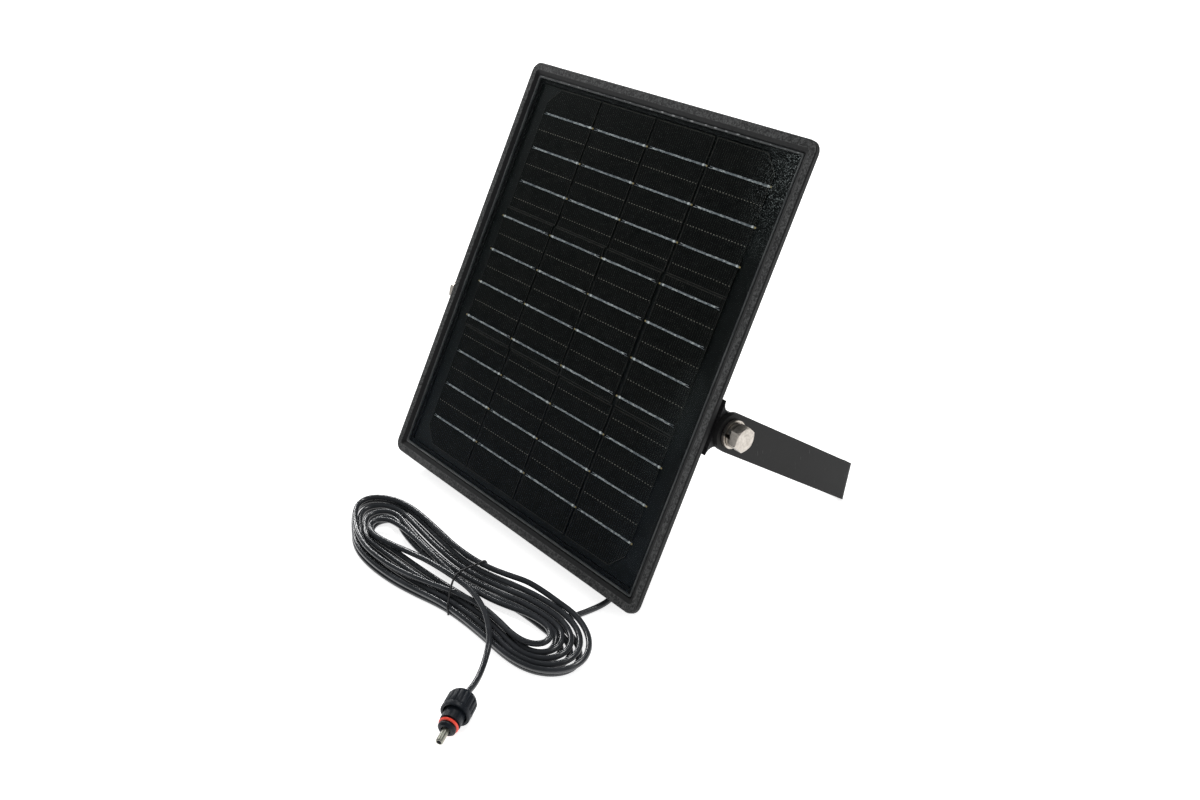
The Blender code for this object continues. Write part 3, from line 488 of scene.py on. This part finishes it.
def add_rings(edit, rings, closed=False):
    """Skin rings of points, all of one count, with caps unless the last meets the first."""
    rows = [[edit.verts.new(p) for p in ring] for ring in rings]
    count = len(rows[0])
    pairs = list(zip(rows, rows[1:] + rows[:1])) if closed else list(zip(rows, rows[1:]))
    for low, high in pairs:
        for i in range(count):
            j = (i + 1) % count
            edit.faces.new((low[i], low[j], high[j], high[i]))
    if not closed:
        edit.faces.new(rows[0])
        edit.faces.new(rows[-1][::-1])


def add_piece(name, mesh, material, body="panel", stands_for=(), place=None,
              smooth=None):
    """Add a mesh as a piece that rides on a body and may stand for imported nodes."""
    obj = bpy.data.objects.new(name, mesh)
    scene.collection.objects.link(obj)
    mesh.materials.append(MATERIALS[material])
    if place is not None:
        obj.matrix_world = place
    if smooth is not None:
        mesh.shade_smooth()
        mesh.set_sharp_from_angle(angle=math.radians(smooth))
    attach(obj, body)
    if stands_for:
        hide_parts(*stands_for)
    return obj


# -------------------------------------------------------------------------------- cable

CORD = 0.0026                       # diameter
LAYER = (1.35 * MM, 3.97 * MM)      # heights of the two lower layers' middles

# Outermost and innermost strands of the hank from above, in step with each other (mm)
HANK_OUTER = (
    (66.9, -78.9), (55.9, -78.9), (42.9, -80.5), (30.9, -83.6), (20.9, -86.4), (10.9, -88.0),
    (0.9, -88.5), (-19.1, -87.0), (-39.1, -85.6), (-53.6, -86.4), (-64.0, -89.6), (-70.3, -94.6),
    (-72.6, -99.3),
    (-71.2, -103.9), (-65.6, -108.6), (-57.1, -113.5), (-47.1, -118.8), (-37.1, -121.8),
    (-24.1, -122.8), (-9.1, -121.7), (5.9, -118.8), (15.9, -116.4), (25.9, -114.8), (40.9, -114.1),
    (55.9, -114.2),
    (68.9, -113.9), (78.9, -112.1), (86.4, -108.6), (91.8, -103.3), (93.8, -96.8), (91.8, -90.2),
    (85.7, -84.4), (77.0, -80.6))
HANK_INNER = (
    (66.9, -92.3), (56.9, -93.0), (46.4, -95.0), (34.9, -98.2), (23.9, -100.3), (12.4, -101.9),
    (0.9, -103.0), (-18.6, -103.0), (-33.1, -100.9), (-41.6, -98.0), (-46, -98.7), (-47.6, -100.7),
    (-48.1, -102.8),
    (-47.8, -104.8), (-46.8, -106.7), (-45, -108.0), (-41.6, -108.6), (-35.6, -107.6),
    (-23.1, -106.0), (-7.6, -105.1), (7.7, -104.2), (17.4, -103.3), (27.4, -102.1),
    (41.4, -100.9), (56.4, -101.6), (67.3, -103.5), (70.3, -103.1), (72.3, -102.1),
    (73.8, -100.3), (74.4, -98), (74, -95.9), (72.7, -94.1), (70.5, -92.9))

GLAND_TIP = (0.0714, -0.0855, 0.0038)         # in the panel frame
STRAIGHT_OUT, STRAIGHT_IN = 0.0012, 0.0018    # at the gland and at the plug
PLUG_GAP = 0.0003                   # clearance between the cord's end and the plug

# The lead, down from the gland to the floor and the hank's first turn (mm)
LEAD = (
    (71.1, -62.6, 2.1), (70.7, -65.0, 1.45), (70.1, -68.0, 1.35), (69.3, -71.5, 1.35),
    (68.25, -75.0, 1.35), (67.1, -78.2, 1.35), (64.8, -80.9, 1.35))

# The last turns and the tail, over the top of the others (mm)
TOP_TURN = (
    (57.9, -79.1, 4.2), (48.9, -79.9, 5.1), (39.9, -81.6, 6.2), (30.9, -84.8, 6.6),
    (20.9, -87.6, 6.6), (8.9, -89.3, 6.6), (-5.1, -89.6, 6.6), (-19.1, -88.6, 6.6), (-32.1, -87.8, 6.6),
    (-43.1, -87.7, 6.6), (-53.1, -89.2, 6.6), (-61.1, -92.6, 6.6), (-66.1, -97.4, 6.6),
    (-66.6, -102.6, 6.6), (-62.6, -107.4, 6.6), (-54.6, -112.4, 6.6), (-44.1, -116.4, 6.6),
    (-32.1, -118.6, 6.6), (-17.1, -118.2, 6.6), (-3.1, -115.8, 6.6), (8.9, -112.4, 6.6),
    (20.9, -108.6, 6.6), (32.9, -105.8, 6.6), (42.9, -105.0, 6.6), (52.9, -105.4, 6.6),
    (61.9, -106.0, 6.6), (69.4, -105.2, 6.6), (74.7, -102.4, 6.6), (76.3, -98.6, 6.6),
    (74.0, -94.9, 6.6), (67.6, -92.9, 6.6), (57.4, -94.0, 6.6), (47.4, -97.0, 6.6),
    (38.4, -99.4, 6.6), (28.9, -100.9, 6.6), (18.9, -101.9, 6.6), (4.9, -101.2, 6.6),
    (-11.1, -100.0, 6.6), (-25.1, -99.2, 6.6), (-36.1, -99.2, 6.6), (-44.1, -100.6, 6.6),
    (-48.5, -105.0, 6.6), (-46, -109.6, 6.6), (-38.6, -111.2, 6.6), (-28.1, -109.6, 6.6),
    (-17.1, -107.6, 7.2), (-3.1, -105.6, 8.6), (10.9, -104.4, 9.3), (20.9, -103.6, 9.3),
    (30.3, -103.8, 9.3), (37.3, -105.2, 9.2), (44.4, -107.1, 8.7), (49.4, -109.3, 7.9),
    (54.5, -112.1, 7.0), (58.4, -115.0, 6.4), (61.1, -117.6, 5.8), (63.3, -120.1, 5.2),
    (66.6, -123.8, 5.0), (69.9, -127.7, 5.3), (73.0, -131.8, 5.8), (75.2, -135.5, 6.2))


def catmull_rom(a, b, c, d, t):
    """Point between b and c on the smooth curve through four points."""
    return 0.5 * ((2 * b) + (c - a) * t + (2 * a - 5 * b + 4 * c - d) * t ** 2
                  + (3 * b - a - 3 * c + d) * t ** 3)


def closed_curve(points, steps=24):
    """Smooth closed line through points in mm, each stretch cut into steps."""
    points = np.array(points, float) * MM
    count = len(points)
    return np.array([catmull_rom(*(points[(i + k) % count] for k in (-1, 0, 1, 2)), s / steps)
                     for i in range(count) for s in range(steps)])


def ease(value, start, end):
    """0 before start, 1 after end, smooth between them."""
    t = min(max((value - start) / (end - start), 0.0), 1.0)
    return t * t * (3 - 2 * t)


def blended(value, start, end, low, high):
    return low + (high - low) * ease(value, start, end)


def hank_turns():
    """Turns of the hank: four inwards on the floor, then four back out on top of them."""
    outer, inner = closed_curve(HANK_OUTER), closed_curve(HANK_INNER)

    def spot(turn, share, height):
        """Point on a turn; share is 0 on the outermost strand and 1 on the innermost."""
        at = (turn % 1.0) * len(outer)
        i, part = int(at), at % 1.0
        j = (i + 1) % len(outer)
        a = outer[i] * (1 - part) + outer[j] * part
        b = inner[i] * (1 - part) + inner[j] * part
        x, y = a * (1 - share) + b * share
        return (x, y, height)

    def low_share(turn):
        """Turns on the floor: each lap lies a step further in, crossing over near its end."""
        lap, at = int(turn + 1e-9), turn - int(turn + 1e-9)
        if at < 0.1:
            first, step = blended(at, 0, 0.1, 0.27, 0.03), blended(at, 0, 0.1, 0.235, 0.25)
        elif at < 0.86:
            first, step = 0.03 + 0.09 * (at - 0.1) / 0.76, 0.25
        else:
            first = blended(at, 0.86, 1.0, 0.12, 0.505)
            step = blended(at, 0.86, 1.0, 0.25, 0.235)
        return first + step * lap

    def high_share(turn):
        """Turns of the second layer: from the innermost strand steadily back out."""
        return 0.93 - 0.2325 * (turn - 4)

    steps, rise = 48, 3.84
    points = []
    for k in range(3, 8 * steps + 1):
        turn = k / steps
        if turn <= rise:
            points.append(spot(turn, low_share(turn), LAYER[0]))
        else:
            up, over = ease(turn, rise, rise + 0.15), ease(turn, rise, rise + 0.3)
            share = low_share(rise) * (1 - over) + high_share(max(turn, 4)) * over
            points.append(spot(turn, share, LAYER[0] + (LAYER[1] - LAYER[0]) * up))
    return points


def even_path(points, spacing, soften=0):
    """Even points on one smooth line through the route's points."""
    route = [np.array(p, float) for p in points]
    route = [2 * route[0] - route[1]] + route + [2 * route[-1] - route[-2]]
    dense = [catmull_rom(*route[i - 1:i + 3], k / 12)
             for i in range(1, len(route) - 2) for k in range(12)] + [route[-2]]
    dense = np.array(dense)
    walked = np.concatenate([[0], np.cumsum(np.linalg.norm(np.diff(dense, axis=0), axis=1))])
    want = np.linspace(0, walked[-1], round(walked[-1] / spacing) + 1)
    path = np.stack([np.interp(want, walked, dense[:, i]) for i in range(3)], 1)
    for _ in range(soften):
        path[1:-1] = path[1:-1] * 0.5 + (path[:-2] + path[2:]) * 0.25
    return path


def tube(name, path, diameter, sides=12):
    """Round tube along a path, its rings turned as little as possible from one to the next."""
    points = [Vector(p) for p in path]
    across = Vector((0, 0, 1))
    rings = []
    for i, point in enumerate(points):
        ahead = (points[min(i + 1, len(points) - 1)] - points[max(i - 1, 0)]).normalized()
        across = (across - ahead * across.dot(ahead)).normalized()
        side = ahead.cross(across)
        turns = [2 * math.pi * k / sides for k in range(sides)]
        rings.append([point + (across * math.cos(a) + side * math.sin(a)) * diameter / 2
                      for a in turns])
    edit = bmesh.new()
    add_rings(edit, rings)
    return new_mesh(name, edit)


def in_metres(points):
    return [tuple(value * MM for value in point) for point in points]


def cord_route():
    """The whole route: out of the gland, round the hank, over its top and into the plug."""
    aim = PANEL.to_3x3() @ Vector((0, -1, 0))
    tip = PANEL @ Vector(GLAND_TIP)
    entry = PLUG_REAR - PLUG_AIM * PLUG_GAP
    return ([tuple(tip), tuple(tip + aim * STRAIGHT_OUT)] + in_metres(LEAD) + hank_turns()
            + in_metres(TOP_TURN) + [tuple(entry - PLUG_AIM * STRAIGHT_IN), tuple(entry)])


def add_cord():
    path = even_path(cord_route(), 1.0 * MM, soften=7)
    cord = add_piece("power_cord", tube("power_cord", path, CORD, 16), "cable",
                     smooth=60,
                     stands_for=("cord_lead", "cord_hank", "cord_tail"))
    length = float(np.linalg.norm(np.diff(path, axis=0), axis=1).sum())
    return cord, path, length


cord, cord_path, cord_length = add_cord()


# -------------------------------------------------------------------------- cell wiring

CELL_TOP = FRONT - 0.0019
CELL_WIDTH, CELL_PITCH = 0.0366, 0.0380
SPLIT_SHIFT = 0.0011                # middle row's first three cells stand this far left
RIBBON_WIDTH, RIBBON_THICK = 0.00088, 0.00016
PRONG_WIDTH, PRONG_THICK = 0.00026, 0.0001
PAD_STEP, PAD_LENGTH = 0.00178, 0.00062

# Ribbons and pad lines of each row of cells, down from the rim's upper edge (mm)
RIBBON_ROWS = ((22.5, 39.9, 57.0), (75.8, 93.1, 110.1, 127.8), (145.7, 163.0, 180.1))
PAD_ROWS = ((30.9, 48.4, 65.7), (84.6, 101.7, 119.2), (137.3, 154.6, 171.9))


def add_strip(edit, start, end, y, width, thick, seed, drift=0.0):
    """One uneven flat wire lying on the cells between two x positions."""
    count = max(3, round(abs(end - start) / 0.0006))
    rings = []
    for i in range(count + 1):
        x = start + (end - start) * i / count
        wide = width / 2 * (1 + 0.13 * grain(x * 900, seed, 1.5))
        middle = y + drift * i / count + 0.00006 * grain(x * 420, seed, 7.5)
        low, high = CELL_TOP + 0.00001, CELL_TOP + thick * (1 + 0.35 * grain(x * 700, seed, 4))
        rings.append([(x, middle - wide, low), (x, middle + wide, low),
                      (x, middle + wide * 0.72, high), (x, middle - wide * 0.72, high)])
    add_rings(edit, rings)


def add_blob(edit, x, y, z, long, wide, high, seed, steps=10):
    """A small lump with a flat underside."""
    rings = []
    for k in range(5):
        rise = math.radians(4 + 80 * k / 4)
        ring = []
        for i in range(steps):
            turn = 2 * math.pi * i / steps
            r = math.cos(rise) * (1 + 0.22 * grain(math.cos(turn) * 1.3, math.sin(turn) * 1.3,
                                                   seed))
            ring.append((x + long * r * math.cos(turn), y + wide * r * math.sin(turn),
                         z + high * math.sin(rise)))
        rings.append(ring)
    add_rings(edit, rings)


def cell_columns(row):
    """Number, left edge and right edge of each cell in a row."""
    for column in range(4):
        centre = (column - 1.5) * CELL_PITCH
        if row == 1 and column < 3:
            centre -= SPLIT_SHIFT
        yield column, centre - CELL_WIDTH / 2, centre + CELL_WIDTH / 2


def add_wiring():
    """Ribbons with forked starts and solder on every cell, and dashed pad lines between."""
    ribbons, solder, copper, pads = (bmesh.new() for _ in range(4))
    for row, (ribbon_row, pad_row) in enumerate(zip(RIBBON_ROWS, PAD_ROWS)):
        side = -1 if row == 1 else 1
        for column, left, right in cell_columns(row):
            near, far = (left, right) if side > 0 else (right, left)
            last = column == (3 if side > 0 else 0)
            for line, down in enumerate(ribbon_row):
                y = PANEL_TOP - down * MM + 0.00009 * grain(column, line, row * 3)
                seed = row * 31 + column * 7 + line
                end = far + side * (0.0002 if last else 0.0007)
                add_strip(ribbons, near + side * 0.0036, end, y, RIBBON_WIDTH, RIBBON_THICK,
                          seed)
                for prong in (-1, 1):
                    add_strip(ribbons, near + side * (0.0011 + 0.0006 * (prong > 0)),
                              near + side * 0.0040, y + prong * 0.00042, PRONG_WIDTH,
                              PRONG_THICK, seed + prong, -prong * 0.00016)
                add_blob(solder, near + side * 0.0043, y, CELL_TOP, 0.0007, 0.00045, 0.00020,
                         seed)
                # far-end solder lumps: real joints, their near-white colour partly painted glints
                add_blob(solder, far - side * 0.0009, y, CELL_TOP, 0.00085, 0.00058, 0.00024,
                         seed + 3)
                add_strip(copper, end, end + side * 0.0009, y, 0.0007, 0.0001, seed + 5)
                for spot in (0.27, 0.52, 0.78):
                    x = left + (right - left) * (spot + 0.05 * grain(seed, spot * 9, 2))
                    add_blob(solder, x, y + 0.0001 * grain(seed, spot, 5), CELL_TOP,
                             0.00042, 0.0003, 0.00021, seed + spot)
            for line, down in enumerate(pad_row):
                y = PANEL_TOP - down * MM
                for k in range(20):
                    x = left + 0.0014 + k * PAD_STEP
                    if x < right - 0.001:
                        long = PAD_LENGTH * (1 + 0.2 * grain(k, column, line))
                        add_strip(pads, x, x + long, y, 0.00030, 0.00004, k + column)
    add_piece("cell_ribbons", new_mesh("cell_ribbons", ribbons), "ribbon", place=PANEL,
              smooth=40)
    add_piece("solder_dots", new_mesh("solder_dots", solder), "solder", place=PANEL, smooth=60)
    add_piece("ribbon_tips", new_mesh("ribbon_tips", copper), "copper", place=PANEL, smooth=40)
    add_piece("silver_pads", new_mesh("silver_pads", pads), "silver", place=PANEL, smooth=40)


def add_wafer_edges():
    """Thin brownish line round each cell, where its printed border ends."""
    edit = bmesh.new()
    to_panel = PANEL.inverted()
    for name, cell in frame["nodes"].items():
        if not name.startswith("solar_cell"):
            continue
        used = {i for face in cell.data.polygons if face.normal.dot(FACE_NORMAL) > 0.9
                for i in face.vertices}
        corners = [to_panel @ cell.data.vertices[i].co for i in used]
        centre = sum(corners, Vector()) / len(corners)
        corners.sort(key=lambda c: math.atan2(c.y - centre.y, c.x - centre.x))
        middle = sum(corners, Vector()) / len(corners)
        inner = [c + (middle - c).normalized() * 0.00046 for c in corners]
        outer = [c + (middle - c).normalized() * 0.00018 for c in corners]
        rise = Vector((0, 0, 0.00003))
        rings = [[a + rise * 0.3, a + rise, b + rise, b + rise * 0.3]
                 for a, b in zip(outer, inner)]
        add_rings(edit, rings, closed=True)
    add_piece("wafer_edges", new_mesh("wafer_edges", edit), "border", place=PANEL)


def add_sealant():
    """Thin uneven bead round the glass, with a few lumps left on it along the top."""
    edit = bmesh.new()
    middle_y, half_x, half_y = RIM_MIDDLE_Y, RIM_HALF_X - SEAL_INSET, RIM_HALF_Y - SEAL_INSET
    corners = [(-half_x, -half_y), (half_x, -half_y), (half_x, half_y), (-half_x, half_y)]
    z = FRONT - 0.00088
    for k, (a, b) in enumerate(zip(corners, corners[1:] + corners[:1])):
        across = Vector((b[1] - a[1], a[0] - b[0], 0)).normalized()
        count, rings = 90, []
        for i in range(count + 1):
            share = i / count
            x, y = a[0] + (b[0] - a[0]) * share, a[1] + (b[1] - a[1]) * share + middle_y
            wide = 0.00030 * (1 + 0.45 * grain(share * 60, k, 3))
            high = 0.00014 * (1 + 0.5 * grain(share * 45, k, 8))
            side = across * wide
            rings.append([(x - side.x, y - side.y, z), (x + side.x, y + side.y, z),
                          (x + side.x * 0.5, y + side.y * 0.5, z + high),
                          (x - side.x * 0.5, y - side.y * 0.5, z + high)])
        add_rings(edit, rings)
    lumps = bmesh.new()
    for k in range(26):
        share = (k + 0.5 + 0.45 * grain(k, 2, 5)) / 26
        x = -half_x + 2 * half_x * share
        size = 0.35 + 0.9 * abs(grain(k, 9, 1)) + 0.5 * (0.45 < share < 0.85)
        add_blob(lumps, x, middle_y + half_y + 0.0003 * grain(k, 4, 4), z, 0.0010 * size,
                 0.00032 * size, 0.00024, k)
    add_piece("sealant_lumps", new_mesh("sealant_lumps", lumps), "smear", place=PANEL,
              smooth=60)
    add_piece("sealant_bead", new_mesh("sealant_bead", edit), "sealant", place=PANEL, smooth=50)


# ----------------------------------------------------------------------------- plug parts

def add_nut():
    """Coupling nut with broad ribs, a plain front ring and a threaded bore."""
    edit = bmesh.new()
    ribs, steps = 16, 8
    shape = (0.0, 0.75, 1.0, 1.0, 1.0, 1.0, 0.75, 0.0)

    def ring(radius, height, rib=0.0):
        out = []
        for i in range(ribs * steps):
            turn = 2 * math.pi * i / (ribs * steps)
            r = radius + rib * shape[i % steps]
            out.append((r * math.cos(turn), r * math.sin(turn), height))
        return out

    start, end, rib = 0.0006, 0.0104, 0.00042
    rings = [ring(0.0026, start + 0.0001), ring(0.0028, start), ring(0.0042, start + 0.0001),
             ring(0.0049, start + 0.0004), ring(0.0053, start + 0.0009),
             ring(0.0056, start + 0.0016, rib * 0.3), ring(0.0057, start + 0.0024, rib),
             ring(0.0057, end - 0.0028, rib), ring(0.0057, end - 0.0022, rib * 0.4),
             ring(0.0059, end - 0.0019), ring(0.0061, end - 0.0017), ring(0.0061, end - 0.0003),
             ring(0.0060, end), ring(0.0051, end), ring(0.0049, end - 0.0002)]
    height = end - 0.0008
    for _ in range(6):
        rings += [ring(0.0049, height), ring(0.0047, height - 0.0003),
                  ring(0.0049, height - 0.0006)]
        height -= 0.0011
    rings += [ring(0.0048, start + 0.0016), ring(0.0026, start + 0.0014)]
    add_rings(edit, rings, closed=True)
    add_piece("ribbed_nut", new_mesh("ribbed_nut", edit), "plug", body="nut", place=PLUG,
              smooth=28, stands_for=("coupling_nut",))


# ------------------------------------------------------------------------------ hank's tie

TIE = 0.0009                        # thickness of its wire
TWIST_RADIUS, TWIST_LENGTH, TWIST_TURNS = 0.00042, 0.0050, 2.5

# The wire's line across the hank from above (mm)
TIE_LINE = ((15.6, -83.8), (16.6, -88.0), (17.0, -92.5), (16.9, -97.7), (18.0, -102.5),
            (20.4, -107.2), (23.6, -111.2), (26.4, -114.2), (28.2, -116.2))


def add_tie(path):
    """A wire drawn down over the bundle: as high as the strands under it need."""
    line = even_path([(x * MM, y * MM, 0) for x, y in TIE_LINE], 0.5 * MM)
    along = np.concatenate([[0], np.cumsum(np.linalg.norm(np.diff(line, axis=0), axis=1))])
    reach = CORD / 2 + TIE / 2 + 0.00005
    heights, floor = [], TIE / 2 + 0.0001
    for p in line:
        away = np.linalg.norm(path[:, :2] - p[:2], axis=1)
        close = away < reach
        need = path[close, 2] + np.sqrt(np.maximum(reach ** 2 - away[close] ** 2, 0))
        heights.append(max(need) if close.any() else floor)
    over = [i for i, height in enumerate(heights) if height > floor]
    first, last = max(over[0] - 1, 0), min(over[-1] + 1, len(line))
    line, along, heights = line[first:last], along[first:last], heights[first:last]
    heights[0] = heights[-1] = CORD * 0.6
    hull = []
    for point in zip(along, heights):
        while len(hull) > 1:
            (x1, y1), (x2, y2) = hull[-2:]
            if (x2 - x1) * (point[1] - y1) < (y2 - y1) * (point[0] - x1):
                break
            hull.pop()
        hull.append(point)
    taut = np.interp(along, *zip(*hull))
    wire = [(p[0], p[1], z) for p, z in zip(line, taut)]
    wire = even_path(wire, 0.5 * MM, soften=4)
    add_piece("hank_wire", tube("hank_wire", wire, TIE), "tie", smooth=60,
              stands_for=("hank_tie",))
    add_tie_twist(Vector(wire[0]) + Vector((0, 0.0006, 0.0004)))


def add_tie_twist(base):
    """The wire's two ends, wound round each other beside the hank."""
    steps, r = 48, TWIST_RADIUS
    twist = []
    for i in range(steps + 1):
        share = i / steps
        turn = share * 2 * math.pi * TWIST_TURNS
        twist.append(base + Vector((TWIST_LENGTH * share + r * math.cos(turn),
                                    0.0004 + 0.0001 * share, r * math.sin(turn) + r)))
    mate = [Vector((p.x, 2 * (base.y + 0.0004) - p.y, 2 * (base.z + r) - p.z)) for p in twist]
    for k, route in enumerate((twist, mate)):
        name = f"tie_twist_{k + 1}"
        add_piece(name, tube(name, route, TIE * 0.8, 8), "tie", smooth=60)


dress_nodes()
add_wiring()
add_wafer_edges()
add_sealant()
add_nut()
add_tie(cord_path)


# ---------------------------------------------------------------------- floor and light

FLOOR_REACH = 12                    # how far the floor runs each way
WORLD_LIGHT = (                     # which rays see it, colour, strength; later rows win
    (None, (1, 1, 1), 0.50),
    ("Is Glossy Ray", (0.8, 0.9, 1.0), 0.06),
    ("Is Camera Ray", (1, 1, 1), 1.0))
LAMPS = (                           # name, place, aim, size, power
    ("strip", (-1.05, 0.3, 0.62), (0, -0.1, 0.0), (1.2, 0.08), 8.5),
    ("overhead", (0.1, 0.45, 1.2), (0, -0.05, 0.08), (0.5, 0.25), 5.0),
    ("side", (1.1, 0.1, 0.9), (0, -0.02, 0.08), (0.5, 0.5), 1.0))


def add_floor():
    mesh = bpy.data.meshes.new("floor")
    r = FLOOR_REACH
    mesh.from_pydata([(-r, -r, 0), (r, -r, 0), (r, r, 0), (-r, r, 0)], [], [(0, 1, 2, 3)])
    floor = bpy.data.objects.new("floor", mesh)
    mesh.materials.append(MATERIALS["floor"])
    scene.collection.objects.link(floor)
    floor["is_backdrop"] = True


def add_world():
    """Even studio light all round, dimmer in reflections and white to the camera."""
    world = bpy.data.worlds.new("studio")
    scene.world = world
    world.use_nodes = True
    tree = world.node_tree
    tree.nodes.clear()
    path = tree.nodes.new("ShaderNodeLightPath")
    out = tree.nodes.new("ShaderNodeOutputWorld")
    surface = None
    for ray, colour, strength in WORLD_LIGHT:
        glow = tree.nodes.new("ShaderNodeBackground")
        glow.inputs["Color"].default_value = (*colour, 1)
        glow.inputs["Strength"].default_value = strength
        if surface is None:
            surface = glow.outputs[0]
            continue
        mix = tree.nodes.new("ShaderNodeMixShader")
        tree.links.new(path.outputs[ray], mix.inputs[0])
        tree.links.new(surface, mix.inputs[1])
        tree.links.new(glow.outputs[0], mix.inputs[2])
        surface = mix.outputs[0]
    tree.links.new(surface, out.inputs[0])


def add_lamps():
    for name, place, look, size, power in LAMPS:
        data = bpy.data.lights.new(name, "AREA")
        data.shape = "RECTANGLE"
        data.size, data.size_y = size
        data.energy = power
        lamp = bpy.data.objects.new(name, data)
        lamp.location = place
        aim = Vector(look) - Vector(place)
        lamp.rotation_euler = aim.to_track_quat("-Z", "Y").to_euler()
        scene.collection.objects.link(lamp)


add_floor()
add_world()
add_lamps()
scene.view_settings.view_transform = "Standard"

[tuple(map(float, p)) for p in cord_path]
tuple(map(float, cord_path[0]))

[[list(map(float, corner)) for corner in box]
           for box in (cad_box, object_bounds())]
